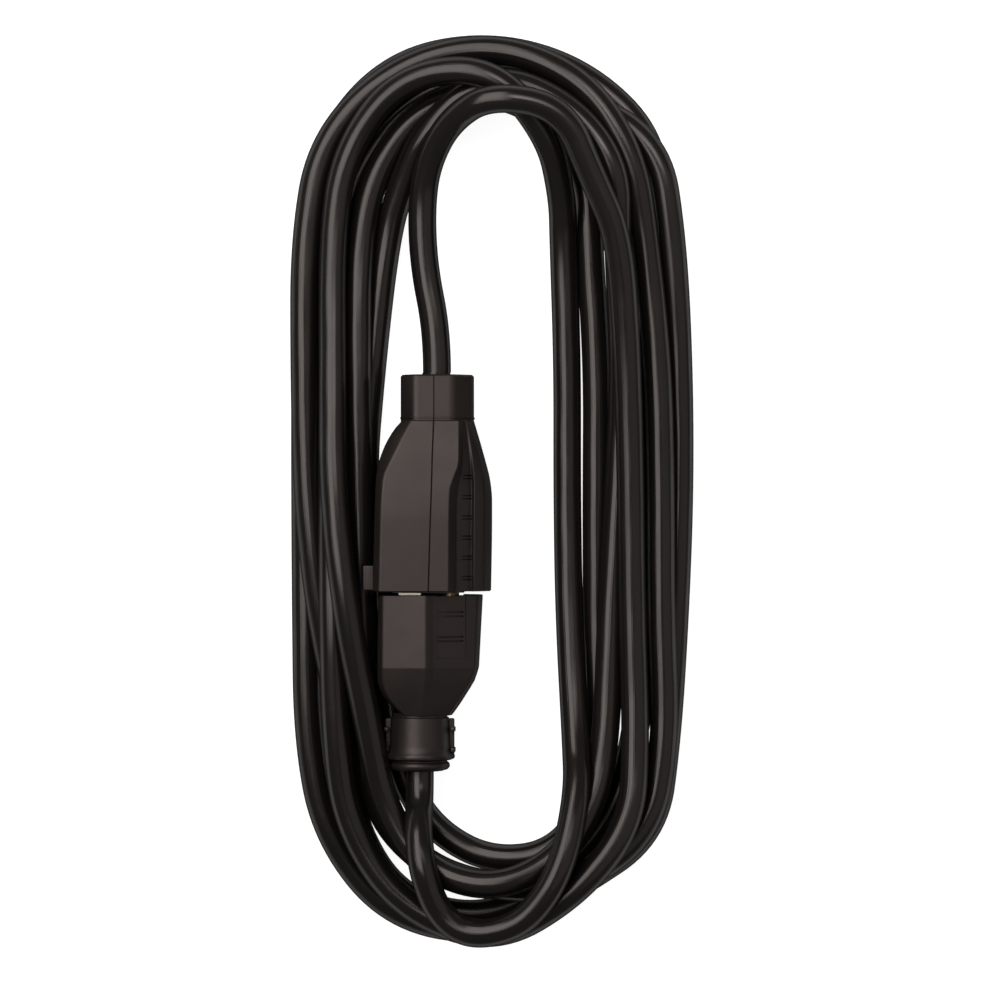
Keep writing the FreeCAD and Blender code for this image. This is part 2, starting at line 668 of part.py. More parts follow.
def crimp(pole, x, z):
    """A crimp barrel behind the bridge and the bore for its strand."""
    barrel = rod(f"plug_barrel_{pole}", "barrel_dia / 2", BRIDGE_END, "barrel_length", TOWARD_PLUG, x, z)
    bore_start = f"{BRIDGE_END} - barrel_length + strip_length"
    bore = rod(f"plug_bore_{pole}", BORE_RADIUS, bore_start, "strip_length", TOWARD_PLUG, x, z)
    return barrel, bore


def flat_blade(pole, x, z):
    """A flat blade with cut tip corners and a hole, and its crimp barrel."""
    tip, side = f"({PLUG_FACE} + blade_length)", "(blade_width / 2)"
    outline = [
        (f"-{side}", BRIDGE_END),
        (side, BRIDGE_END),
        (side, f"{tip} - blade_corner"),
        (f"{side} - blade_corner", tip),
        (f"-{side} + blade_corner", tip),
        (f"-{side}", f"{tip} - blade_corner"),
    ]
    body = new_body(f"blade_{pole}")
    place(body, x, "0", z)
    faces = ("-blade_thick / 2", "blade_thick / 2")
    slab(body, "Pad", f"blade_{pole}_pad", "XY_Plane", *faces, [(outline, {})])
    hole = ("0", f"{tip} - blade_hole_back", "blade_hole_dia / 2")
    slab(body, "Pocket", f"blade_{pole}_hole", "XY_Plane", f"-{OUTSIDE}", OUTSIDE, circles=[hole])
    barrel, bore = crimp(pole, x, z)
    return body, barrel, cut(f"blade_{pole}_cut", fused(f"blade_and_barrel_{pole}", [body, barrel]), bore)


def round_pin():
    """The ground pin with a rounded tip, and its crimp barrel."""
    body = new_body("pin_solid")
    circle = (PIN_X, "0", "pin_dia / 2")
    pad = slab(body, "Pad", "pin_pad", "XZ_Plane", BRIDGE_END, f"{PLUG_FACE} + pin_length", circles=[circle])
    tip = amount(f"{PLUG_FACE} + pin_length") - CLOSE
    edges = [f"Edge{n}" for n, edge in enumerate(pad.Shape.Edges, start=1) if edge.BoundBox.YMin > tip]
    fillet = body.newObject("PartDesign::Fillet", "pin_tip")
    fillet.Base = (pad, edges)
    bind(fillet, Radius="pin_tip_round")
    doc.recompute()
    barrel, bore = crimp("ground", PIN_X, "0")
    return body, barrel, cut("pin_cut", fused("pin_and_barrel", [body, barrel]), bore)


hot_solid, hot_crimp, hot_blade = flat_blade(*POLES[0])
neutral_solid, neutral_crimp, neutral_blade = flat_blade(*POLES[1])
pin_solid, ground_crimp, ground_pin = round_pin()
keep("plug_hot_blade", hot_blade)
keep("plug_neutral_blade", neutral_blade)
keep("plug_ground_pin", ground_pin)

plug_blank = block_blank("plug_blank", BRIDGE_END, PLUG_FACE, BRIDGE_HALF, "bridge_corner")
passage = ("blade_width", "bridge_length", "blade_thick")
plug_metal = [
    box("hot_passage", "blade_x", BRIDGE_END, "blade_pitch / 2", *passage),
    box("neutral_passage", "blade_x", BRIDGE_END, "-blade_pitch / 2", *passage),
    rod("ground_passage", "pin_dia / 2", BRIDGE_END, "bridge_length", TOWARD_CONNECTOR, PIN_X),
]
bridge = cut("plug_bridge_cut", plug_blank, fused("bridge_passages", plug_metal))
keep("plug_blade_bridge", bridge)

PLUG_JACKET_START = f"({PLUG_NECK} + jacket_inset)"
plug_barrels_end = f"{BRIDGE_END} - barrel_length"
plug_wires, plug_strands = conductors(
    "plug",
    {pole: plug_barrels_end for pole, x, z in POLES},
    PLUG_JACKET_START,
    "plug_exit_x",
    -1,
)

plug_jacket_length = "jacket_inset + plug_collar_length + plug_ring_length"
plug_jacket_blank, plug_jacket = jacket_end(
    "plug", PLUG_JACKET_START, plug_jacket_length, TOWARD_PLUG, "plug_exit_x", plug_wires, plug_strands
)
keep("plug_jacket_end", plug_jacket)


# Male plug: strain relief and moulded body


def strain_relief():
    """A flared collar with side wings and cross rungs, and an end ring."""
    x = "plug_exit_x"
    cone = doc.addObject("Part::Cone", "relief_cone")
    cone.Placement = FreeCAD.Placement(FreeCAD.Vector(), TOWARD_PLUG)
    bind(cone, Radius1="plug_collar_dia / 2", Height="plug_collar_length")
    bind(cone, Radius2="(plug_collar_dia + plug_collar_flare) / 2")
    place(cone, x, PLUG_NECK, "0")
    ring = rod("relief_ring", "plug_ring_dia / 2", RIM, "plug_ring_length", TOWARD_PLUG, x)
    wings = box("relief_wings", x, RIM, "0", "wing_span", "plug_collar_length", "wing_thick")
    rungs = []
    for number in (0, 1):
        y = f"{PLUG_NECK} - rung_first - {number} * rung_pitch - rung_width"
        rung_size = ("wing_span - rung_rise", "rung_width", "wing_thick + 2 * rung_rise")
        rungs.append(box(f"rung_{number}", x, y, "0", *rung_size))
    stub_start = f"{PLUG_NECK} + stub_length"
    stub = rod("relief_stub", "relief_stub_dia / 2", stub_start, "stub_length", TOWARD_PLUG, x)
    bore_length = "stub_length + plug_collar_length + plug_ring_length"
    bore = rod("relief_bore", "cord_dia / 2", stub_start, bore_length, TOWARD_PLUG, x)
    return stub, cut("relief_cut", fused("relief_solid", [cone, ring, wings, stub] + rungs), bore)


relief_stub, relief = strain_relief()
keep("plug_strain_relief", relief)


def plug_outside():
    """The moulded body: flat sides, bevels with a recessed grip panel, and a taper to the neck."""
    half_thick = "plug_thick / 2"
    upper = [("-plug_left", half_thick), ("plug_ridge_x", half_thick), ("plug_right", "plug_nose_half")]
    body = new_body("plug_outside")
    slab(body, "Pad", "plug_section", "XZ_Plane", PLUG_NECK, PLUG_FACE, [(mirrored(upper), {})])
    round_edges(body, "plug_left_edges", "plug_edge_round", upper[:1])
    round_edges(body, "plug_ridge_and_nose", "plug_ridge_round", upper[1:])

    # recessed grip panel on each bevel, left open at the face, around two ribs
    fall = "(plug_thick / 2 - plug_nose_half) / (plug_right - plug_ridge_x)"
    near_x, far_x = "(plug_ridge_x + panel_margin)", "(plug_right - panel_margin - plug_ridge_round)"

    def bevel(x, lift):
        return x, f"plug_thick / 2 - ({x} - plug_ridge_x) * {fall} + {lift}"

    panel = [
        bevel(near_x, "-panel_depth"),
        bevel(far_x, "-panel_depth"),
        bevel(far_x, OUTSIDE),
        bevel(near_x, OUTSIDE),
    ]
    panels = [(panel, {}), ([(x, f"-({z})") for x, z in panel], {})]
    stops = ["0", "panel_rib_first", "panel_rib_first + panel_rib_pitch", "panel_length"]
    for number, (start, end) in enumerate(zip(stops, stops[1:])):
        front = start if number == 0 else f"{start} + rib_width"
        stretch = (f"{PLUG_FACE} - ({end})", f"{PLUG_FACE} - ({front})")
        slab(body, "Pocket", f"grip_panel_{number}", "XZ_Plane", *stretch, panels)

    # taper seen from above
    taper_start = f"{PLUG_NECK} + plug_taper"
    past = f"{PLUG_NECK} - {OUTSIDE}"
    left = [
        ("-plug_left", taper_start),
        ("-plug_neck_left", PLUG_NECK),
        ("-plug_neck_left", past),
        (f"-plug_left - {OUTSIDE}", past),
        (f"-plug_left - {OUTSIDE}", taper_start),
    ]
    right = [
        ("plug_right", taper_start),
        ("plug_neck_right", PLUG_NECK),
        ("plug_neck_right", past),
        (f"plug_right + {OUTSIDE}", past),
        (f"plug_right + {OUTSIDE}", taper_start),
    ]
    loops = [(left, {0: ("plug_left_bend", -1)}), (right, {})]
    through = (f"-{half_thick} - {OUTSIDE}", f"{half_thick} + {OUTSIDE}")
    slab(body, "Pocket", "plug_shoulders", "XY_Plane", *through, loops)

    # taper seen from the side
    slope = [
        (taper_start, half_thick),
        (PLUG_NECK, "plug_neck_half"),
        (past, "plug_neck_half"),
        (past, f"{half_thick} + {OUTSIDE}"),
        (taper_start, f"{half_thick} + {OUTSIDE}"),
    ]
    under = [(y, f"-({z})") for y, z in slope]
    across = (f"-plug_left - {OUTSIDE}", f"plug_right + {OUTSIDE}")
    slab(body, "Pocket", "plug_slopes", "YZ_Plane", *across, [(slope, {}), (under, {})])
    return body


plug_tools = [plug_blank, plug_jacket_blank, relief_stub, hot_crimp, neutral_crimp, ground_crimp]
plug_body = cut("plug_body_cut", plug_outside(), fused("plug_inside", plug_tools + plug_wires + plug_strands))
keep("plug_body", plug_body)


# Cord: the coil's outer shape
INNER_LEFT = "(-connector_width / 2 - coil_clearance - lug_reach)"
INNER_RIGHT = "(coil_width - coil_left - coil_right_band)"


def stadium(left, right, low, high):
    """A loop with straight sides and round ends, and the bends of its four quarter arcs."""
    radius = f"(({right}) - ({left})) / 2"
    middle = f"(({right}) + ({left})) / 2"
    corners = [
        (left, f"{high} - {radius}"),
        (left, f"{low} + {radius}"),
        (middle, low),
        (right, f"{low} + {radius}"),
        (right, f"{high} - {radius}"),
        (middle, high),
    ]
    bends = {index: (radius, -1) for index in (1, 2, 4, 5)}
    return corners, bends


def coil():
    """One ring with the coil's outline, hollow where the two ends lie, and higher where the turns cross."""
    bottom = "(coil_top - coil_length)"
    outer = stadium("-coil_left", "coil_width - coil_left", bottom, "coil_top")
    inner = stadium(INNER_LEFT, INNER_RIGHT, f"{bottom} + coil_bottom_band", "coil_top - coil_top_band")
    body = new_body("coil_solid", on_axis=False)
    slab(body, "Pad", "coil_outline", "XY_Plane", "0", "coil_end_height", [outer])
    base = body.Tip
    rims = [f"Edge{n}" for n, edge in enumerate(base.Shape.Edges, start=1) if edge.BoundBox.ZLength < CLOSE]
    fillet = body.newObject("PartDesign::Fillet", "coil_rims")
    fillet.Base = (base, rims)
    bind(fillet, Radius="coil_round")
    doc.recompute()
    slab(body, "Pocket", "coil_hollow", "XY_Plane", f"-{OUTSIDE}", f"coil_end_height + {OUTSIDE}", [inner])
    low, high = f"{bottom} + coil_bottom_band", "coil_top - coil_top_band"
    saddle = [
        (low, "coil_end_height"),
        (f"{low} + coil_ramp", "coil_side_height"),
        (f"{high} - coil_ramp", "coil_side_height"),
        (high, "coil_end_height"),
        (high, f"coil_end_height + {OUTSIDE}"),
        (low, f"coil_end_height + {OUTSIDE}"),
    ]
    across = (f"-coil_left - {OUTSIDE}", f"coil_width - coil_left + {OUTSIDE}")
    slab(body, "Pocket", "coil_saddle", "YZ_Plane", *across, [(saddle, {})])
    return body


keep("cord_coil", coil())


# Cord: the two leads between the coil and the ends, as points from the collar on


def lead(name, points):
    """A plain round lead, whose volume is compared with its section and length."""
    edges, radii = route([FreeCAD.Vector(*point) for point in points])
    solid = tube(edges, amount("cord_dia / 2"))
    length = sum(edge.Length for edge in edges)
    expected = math.pi * amount("cord_dia / 2") ** 2 * length
    print(name, "length", round(length, 1), "radii", [round(radius, 1) for radius in radii])
    print(name, "volume share", round(solid.Volume / expected, 4))
    return keep(name, feature(name, solid, lifted=False))


axis_height = amount(AXIS_HEIGHT)
lead(
    "connector_lead",
    [
        (amount("connector_exit_x"), amount(END), axis_height),
        (amount("connector_exit_x"), 73.5, axis_height),
        (-0.9, 90.5, 13.8),
        (-2.4, 107.5, 13.4),
        (-2.0, 123.5, 12.8),
        (0.0, amount("coil_top - coil_top_band + coil_entry"), 12.2),
    ],
)
lead(
    "plug_lead",
    [
        (amount("plug_exit_x"), amount(f"-{END}"), axis_height),
        (amount("plug_exit_x"), -70.0, axis_height),
        (-3.6, amount("coil_top - coil_length + coil_bottom_band - coil_entry"), 13.6),
    ],
)


def check_and_write():
    """Stops on any failed object, then writes each piece."""
    doc.recompute()
    for thing in doc.Objects:
        if "Invalid" in thing.State or "Error" in thing.State:
            raise RuntimeError(f"{thing.Name} failed: {thing.State}")
    for name, thing in nodes.items():
        shape = thing.Shape
        if shape.isNull() or not shape.isValid() or not shape.Solids:
            raise RuntimeError(f"{name} has no valid shape")
    os.makedirs("parts", exist_ok=True)
    for name, thing in nodes.items():
        thing.Shape.exportStep(f"parts/{name}.step")
        size = thing.Shape.BoundBox
        print(f"{name}: {len(thing.Shape.Solids)} solid, {thing.Shape.Volume:.1f} mm3, {size}")


check_and_write()
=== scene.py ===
"""Looks of a coiled outdoor extension cord, its plug pushed into its connector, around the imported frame."""

import json
import math

import bpy
import numpy as np
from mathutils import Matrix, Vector

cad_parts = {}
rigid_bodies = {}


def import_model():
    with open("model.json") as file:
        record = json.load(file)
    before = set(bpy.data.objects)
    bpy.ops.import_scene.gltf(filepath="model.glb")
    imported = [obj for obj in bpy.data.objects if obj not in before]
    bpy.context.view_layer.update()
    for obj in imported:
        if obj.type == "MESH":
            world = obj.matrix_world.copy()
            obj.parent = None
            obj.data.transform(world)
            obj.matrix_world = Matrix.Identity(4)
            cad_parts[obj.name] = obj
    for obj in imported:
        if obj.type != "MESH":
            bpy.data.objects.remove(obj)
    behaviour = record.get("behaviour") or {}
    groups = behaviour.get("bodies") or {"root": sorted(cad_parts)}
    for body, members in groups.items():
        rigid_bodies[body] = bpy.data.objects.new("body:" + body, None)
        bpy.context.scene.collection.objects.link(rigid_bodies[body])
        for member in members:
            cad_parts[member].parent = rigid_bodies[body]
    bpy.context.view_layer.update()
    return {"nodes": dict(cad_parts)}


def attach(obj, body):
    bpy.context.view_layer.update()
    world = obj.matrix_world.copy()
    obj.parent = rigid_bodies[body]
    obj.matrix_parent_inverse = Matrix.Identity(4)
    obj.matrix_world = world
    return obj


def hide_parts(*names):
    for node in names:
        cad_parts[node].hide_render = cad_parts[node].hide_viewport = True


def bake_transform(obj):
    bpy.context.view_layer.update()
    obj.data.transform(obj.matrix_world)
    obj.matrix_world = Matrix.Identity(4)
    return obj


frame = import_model()
nodes = frame["nodes"]
for part in bpy.context.scene.objects:
    part.select_set(False)

# Camera, straight above as the photograph
PHOTO_PIXELS = 1000
PIXEL = 0.0002924
ORIGIN_PIXEL = (433.0, 571.5)
MIDDLE_HEIGHT = 0.012
LENS = 135.0
SENSOR = 36.0
FARTHEST_SEEN = 10.0

view_width = PHOTO_PIXELS * PIXEL
camera_distance = view_width * LENS / SENSOR
centre_x = (PHOTO_PIXELS / 2 - ORIGIN_PIXEL[0]) * PIXEL
centre_y = (ORIGIN_PIXEL[1] - PHOTO_PIXELS / 2) * PIXEL

camera = bpy.data.objects.new("photo_camera", bpy.data.cameras.new("photo_camera"))
bpy.context.scene.collection.objects.link(camera)
camera.data.lens = LENS
camera.data.sensor_width = SENSOR
camera.location = (centre_x, centre_y, MIDDLE_HEIGHT + camera_distance)
camera.data.clip_end = FARTHEST_SEEN
bpy.context.scene.camera = camera

# The cord's route: the lead out of the connector, six and a half turns, and the lead into the plug
CORD_DIA = 0.0082
CORD_RADIUS = CORD_DIA / 2
MM = 0.001

# Points of the two leads, in millimetres: the first three and the last two stay as given
CONNECTOR_LEAD = [
    (1.2, 58, 14),
    (1.2, 70, 14),
    (-2.7, 89.5, 13.8),
    (-3.3, 107.5, 14.5),
    (-1.2, 119.7, 17),
    (5.4, 131.0, 20),
]
PLUG_LEAD = [
    (28.0, -99.6, 20.0),
    (17.8, -104.2, 20.0),
    (8.4, -104.1, 20.0),
    (1.4, -97.8, 18.0),
    (-2.4, -87.5, 15.5),
    (-4.2, -76.0, 13.8),
    (-3.8, -66.0, 14.0),
    (-3.8, -58.0, 14.0),
]
STRAIGHT_OUT = 3
STRAIGHT_IN = 2

# The coil's outline in metres, and its stations, numbered clockwise from the middle of the far end
STATIONS = 20
COIL_MIDDLE_X = 0.0171
COIL_HALF_WIDTH = 0.0589
FAR_ARC_Y = 0.09693
FAR_ARC_REACH = 0.0597
NEAR_ARC_Y = -0.04927
NEAR_ARC_REACH = 0.0599
SIDE_ROWS = (0.09693, 0.0604, 0.0238, -0.0127, -0.04927)
FAR_ANGLES = {0: 90, 1: 60, 2: 30, 18: 150, 19: 120}
NEAR_ANGLES = {8: -30, 9: -60, 10: -90, 11: -120, 12: -150}
FIRST_RIGHT = 3
LAST_RIGHT = 7
FIRST_LEFT = 17
ARC_GAIN = 1.035

# How many cord diameters each turn lies inside the outline, station by station
TURNS = [
    [
        2.03, 1.79, 2.72, 2.15, 1.84, 1.73, 1.68, 1.54, 1.16, 0.85,
        -0.12, 0.30, 0.96, 1.14, 1.05, 0.99, 0.98, 1.00, 1.40, 1.10,
    ],
    [
        0.80, 1.00, 0.06, 0.20, -0.05, -0.09, 0.08, 0.36, 0.15, 0.85,
        0.00, -0.35, 0.03, 0.06, 0.01, -0.02, -0.02, -0.01, -0.08, -0.38,
    ],
    [
        -0.12, -0.01, 0.01, 0.90, 0.98, 0.98, 1.05, 1.50, 1.75, 1.60,
        0.55, 0.34, 1.05, 1.48, 0.54, 0.09, 0.00, 0.00, -0.10, -0.08,
    ],
    [
        -0.02, 0.40, 1.07, 1.18, 0.72, 0.62, 0.62, 0.45, 0.42, 1.05,
        1.74, 1.85, 2.00, 2.35, 2.05, 1.95, 1.88, 1.95, 2.02, 1.60,
    ],
    [
        1.55, 2.05, 2.80, 3.18, 2.89, 2.92, 2.91, 2.84, 2.65, 2.30,
        2.57, 3.00, 3.30, 3.20, 2.70, 2.03, 2.39, 2.90, 3.06, 2.30,
    ],
    [
        1.12, 1.42, 1.75, 2.20, 1.95, 2.15, 2.42, 2.60, 2.60, 2.12,
        1.74, 1.84, 2.40, 2.42, 1.57, 1.07, 1.04, 1.00, 0.82, 0.39,
    ],
    [
        1.00, 2.75, 3.86, 4.11, 3.96, 3.97, 3.91, 3.68, 3.28, 1.90,
    ],
]

# Where two parts of the cord cross, the one with the higher number lies on top
ORDER = [
    [9, 9, 9, 8, 7, 7, 7, 7, 7, 7, 7, 7, 7, 7, 7, 2.6, 1, 1, 1.2, 1.6],
    [2, 2, 2, 2, 1.5, 1, 1, 1, 1, 1, 1, 1, 1, 1, 1, 1, 1, 1, 1, 0.8],
    [0.8, 0.8, 0.8, 0.8, 1.5, 2, 2, 2, 2, 2, 2, 2, 2, 2, 2, 2.5, 3, 3, 3, 3],
    [3] * STATIONS,
    [4, 4, 4, 4, 4, 4, 4, 4, 4, 4, 4, 4, 3.6, 2.5, 2.5, 2.5, 2.5, 2.5, 3.5, 4],
    [5, 5, 5, 5, 5, 5, 5, 5, 5, 5.5, 6.5, 7.5, 8, 8, 8, 8, 8, 8, 8, 8],
    [8, 8, 8, 8, 8, 8, 8.2, 8.6, 9, 9],
]
LEAD_ORDER = 9.5
PLUG_LEAD_ORDER = [9.1, 9.2, 9.4, 9.6, 9.8, 9.9, 9.9, 9.9]


def coil_place(station, inset):
    """Where a turn passes a station, so many cord diameters inside the coil's outline."""
    depth = (inset + 0.5) * CORD_DIA
    across = COIL_HALF_WIDTH - depth
    if station in FAR_ANGLES:
        angle = math.radians(FAR_ANGLES[station])
        along = FAR_ARC_Y + (FAR_ARC_REACH - depth) * ARC_GAIN * math.sin(angle)
        return COIL_MIDDLE_X + across * ARC_GAIN * math.cos(angle), along
    if station in NEAR_ANGLES:
        angle = math.radians(NEAR_ANGLES[station])
        along = NEAR_ARC_Y + (NEAR_ARC_REACH - depth) * ARC_GAIN * math.sin(angle)
        return COIL_MIDDLE_X + across * ARC_GAIN * math.cos(angle), along
    if station <= LAST_RIGHT:
        return COIL_MIDDLE_X + across, SIDE_ROWS[station - FIRST_RIGHT]
    return COIL_MIDDLE_X - across, SIDE_ROWS[FIRST_LEFT - station]


def cord_route():
    """The route's points, which part lies on top where two cross, and which points stay as given."""
    points = [tuple(MM * value for value in point) for point in CONNECTOR_LEAD]
    order = [LEAD_ORDER] * len(points)
    for insets, levels in zip(TURNS, ORDER):
        for station, inset in enumerate(insets):
            x, y = coil_place(station, inset)
            points.append((x, y, CORD_RADIUS))
            order.append(levels[station])
    points += [tuple(MM * value for value in point) for point in PLUG_LEAD]
    order += PLUG_LEAD_ORDER
    held = np.zeros(len(points), bool)
    held[:STRAIGHT_OUT] = True
    held[-STRAIGHT_IN:] = True
    return np.array(points), np.array(order), held


# The coil settles: each part of the cord sinks until it lies on the floor or on the turns under it
CHECKS_PER_SPAN = 8
TOUCHING = 0.91 * CORD_DIA
NEIGHBOUR = 3 * CORD_DIA
SETTLE_ROUNDS = 400
SINKING_ROUNDS = 300
SLOW_ROUNDS = 360
SINK_STEP = 0.00025
SLOW_STEP = 0.00005
STIFFNESS = 0.02
LEAST_FREE = 0.3
HALF_PUSH = 0.5
MOVABLE = 0.6
PUSHES_PER_ROUND = 3
TINY = 1e-9


def spline_weights(count):
    """How much each control point of an open order 3 spline weighs at the places that are checked."""
    spans = count - 2
    knots = np.concatenate([[0, 0], np.arange(spans + 1), [spans, spans]]).astype(float)
    place = np.linspace(0, spans, spans * CHECKS_PER_SPAN + 1)
    place[-1] -= TINY
    weights = ((place[:, None] >= knots[None, :-1]) & (place[:, None] < knots[None, 1:])).astype(float)
    for degree in (1, 2):
        raised = np.zeros((len(place), weights.shape[1] - 1))
        for index in range(raised.shape[1]):
            rise = knots[index + degree] - knots[index]
            fall = knots[index + degree + 1] - knots[index + 1]
            if rise > 0:
                raised[:, index] += (place - knots[index]) / rise * weights[:, index]
            if fall > 0:
                raised[:, index] += (knots[index + degree + 1] - place) / fall * weights[:, index + 1]
        weights = raised
    return weights


def settled(points, order, held):
    """The same points, with heights at which no part of the cord lies in another."""
    weights = spline_weights(len(points))
    places = weights @ points
    level = weights @ order
    run = np.concatenate([[0], np.cumsum(np.linalg.norm(np.diff(places[:, :2], axis=0), axis=1))])
    first, second = np.triu_indices(len(places), 1)
    apart = ((places[first, :2] - places[second, :2]) ** 2).sum(1)
    close = (apart < TOUCHING**2) & (run[second] - run[first] > NEIGHBOUR)
    first, second, apart = first[close], second[close], apart[close]
    first_above = level[first] > level[second] + TINY
    upper = np.where(first_above, first, second)
    lower = np.where(first_above, second, first)
    climb = np.sqrt(TOUCHING**2 - apart)
    free = weights * ~held
    movable = free.sum(1)[upper] > MOVABLE
    upper, lower, climb = upper[movable], lower[movable], climb[movable]
    share = free / np.maximum((free**2).sum(1), LEAST_FREE)[:, None]
    height = points[:, 2].copy()
    for turn in range(SETTLE_ROUNDS):
        if turn < SINKING_ROUNDS:
            height[~held] -= SINK_STEP
        elif turn < SLOW_ROUNDS:
            height[~held] -= SLOW_STEP
        height[~held] = np.maximum(height[~held], CORD_RADIUS)
        for _ in range(PUSHES_PER_ROUND):
            now = weights @ height
            needed = np.full(len(now), CORD_RADIUS)
            np.maximum.at(needed, upper, now[lower] + climb)
            push = (share * np.clip(needed - now, 0, None)[:, None]).max(0)
            height[~held] += HALF_PUSH * push[~held]
        if turn < SLOW_ROUNDS:
            bend = np.zeros_like(height)
            bend[1:-1] = height[:-2] + height[2:] - 2 * height[1:-1]
            height[~held] += STIFFNESS * bend[~held]
    result = points.copy()
    result[:, 2] = height
    return result


# One smooth spline through the whole route, and the mesh tubes that follow it
SPLINE_ORDER = 3
STEPS_PER_SPAN = 12
SIDES = 24
SPLIT_Y = 0.125


def spline_line(points):
    """The points along one open NURBS spline with the route's points as its control points."""
    curve = bpy.data.curves.new("cord_line", "CURVE")
    curve.dimensions = "3D"
    curve.resolution_u = STEPS_PER_SPAN
    spline = curve.splines.new("NURBS")
    spline.points.add(len(points) - 1)
    for target, point in zip(spline.points, points):
        target.co = (*point, 1.0)
    spline.order_u = SPLINE_ORDER
    spline.use_endpoint_u = True
    holder = bpy.data.objects.new("cord_line", curve)
    bpy.context.scene.collection.objects.link(holder)
    bpy.context.view_layer.update()
    line = bpy.data.meshes.new_from_object(holder)
    found = np.array([vertex.co for vertex in line.vertices], float)
    bpy.data.objects.remove(holder)
    bpy.data.meshes.remove(line)
    return found


def cord_rings(centres):
    """A ring of points round each centre, carried along the line without twisting."""
    ahead = np.gradient(centres, axis=0)
    ahead /= np.linalg.norm(ahead, axis=1)[:, None]
    side = np.cross(ahead[0], (0, 0, 1))
    angles = np.linspace(0, 2 * math.pi, SIDES, endpoint=False)
    rings = []
    for centre, direction in zip(centres, ahead):
        side = side - direction * side.dot(direction)
        side /= np.linalg.norm(side)
        above = np.cross(side, direction)
        circle = np.outer(np.cos(angles), side) + np.outer(np.sin(angles), above)
        rings.append(centre + CORD_RADIUS * circle)
    return np.array(rings)


def tube(name, rings, run):
    """A closed mesh tube through the rings, with a UV map of the way round and the way along in metres."""
    vertices = rings.reshape(-1, 3)
    faces = []
    for row in range(len(rings) - 1):
        for column in range(SIDES):
            following = (column + 1) % SIDES
            here = row * SIDES
            there = here + SIDES
            faces.append((here + column, there + column, there + following, here + following))
    wall = len(faces)
    last = (len(rings) - 1) * SIDES
    faces.append(tuple(range(SIDES)))
    faces.append(tuple(reversed(range(last, last + SIDES))))
    mesh = bpy.data.meshes.new(name)
    mesh.from_pydata([tuple(place) for place in vertices], [], faces)
    layer = mesh.uv_layers.new(name="way_along")
    for index, face in enumerate(mesh.polygons):
        for corner, loop in enumerate(face.loop_indices):
            row, column = divmod(mesh.loops[loop].vertex_index, SIDES)
            # The last face of each ring closes the way round at 1, not at 0
            if index < wall and corner >= 2 and column == 0:
                column = SIDES
            layer.data[loop].uv = (column / SIDES, run[row])
        face.use_smooth = index < wall
        if index >= wall:
            for loop in face.loop_indices:
                mesh.edges[mesh.loops[loop].edge_index].use_edge_sharp = True
    piece = bpy.data.objects.new(name, mesh)
    bpy.context.scene.collection.objects.link(piece)
    return piece


route, route_order, route_held = cord_route()
route = settled(route, route_order, route_held)
cord_line = spline_line(route)
rings = cord_rings(cord_line)
run = np.concatenate([[0], np.cumsum(np.linalg.norm(np.diff(cord_line, axis=0), axis=1))])
split = int(np.argmax(cord_line[:, 1] > SPLIT_Y))
connector_cord = tube("connector_cord", rings[: split + 1], run[: split + 1])
coil_cord = tube("coil_cord", rings[split:], run[split:])


# Mouldings: listed rings of points, skinned, cut and rounded
AXIS_HEIGHT = 0.014
MERGE_RINGS, MERGE_COPY = 1e-7, 1e-6
PLACE_DIGITS = 6
AT_FACE = 0.0001
BORE_SIDES = 48
BORE_INSIDE, BORE_OUTSIDE = 2, 1
EDGE_BREAK = 0.3
ROUND_SEGMENTS, BOX_SEGMENTS = 3, 2
MOULDING_SHARP, RELIEF_SHARP = 32, 40


def active(piece):
    """Makes the piece the only selected one."""
    bpy.ops.object.select_all(action="DESELECT")
    piece.select_set(True)
    bpy.context.view_layer.objects.active = piece


def flowing(stations, values, places):
    """A smooth line through given values, read at the places, with no overshoot."""
    stations = np.asarray(stations, float)
    values = np.asarray(values, float)
    slopes = np.diff(values) / np.diff(stations)
    tangents = np.concatenate([slopes[:1], np.zeros(len(slopes) - 1), slopes[-1:]])
    for index in range(1, len(slopes)):
        before, after = slopes[index - 1], slopes[index]
        if before * after > 0:
            tangents[index] = 2 * before * after / (before + after)
    span = np.clip(np.searchsorted(stations, places, side="right") - 1, 0, len(slopes) - 1)
    width = (stations[1:] - stations[:-1])[span]
    part = (places - stations[span]) / width
    rise = values[span] * (2 * part**3 - 3 * part**2 + 1) + values[span + 1] * (3 * part**2 - 2 * part**3)
    lean = tangents[span] * (part**3 - 2 * part**2 + part) + tangents[span + 1] * (part**3 - part**2)
    return rise + width * lean


def section_rings(stations, across, height, places):
    """Rings round the cord's axis, the lower half the upper one's mirror image, in millimetres."""
    places = np.asarray(places, float)
    upper_x = [flowing(stations, row, places) for row in across]
    upper_z = [flowing(stations, row, places) for row in height]
    x = np.array(upper_x + upper_x[::-1])
    z = np.array(upper_z + [-row for row in upper_z[::-1]])
    y = np.broadcast_to(places, x.shape)
    return np.stack([x * MM, y * MM, z * MM + AXIS_HEIGHT], axis=-1).transpose(1, 0, 2)


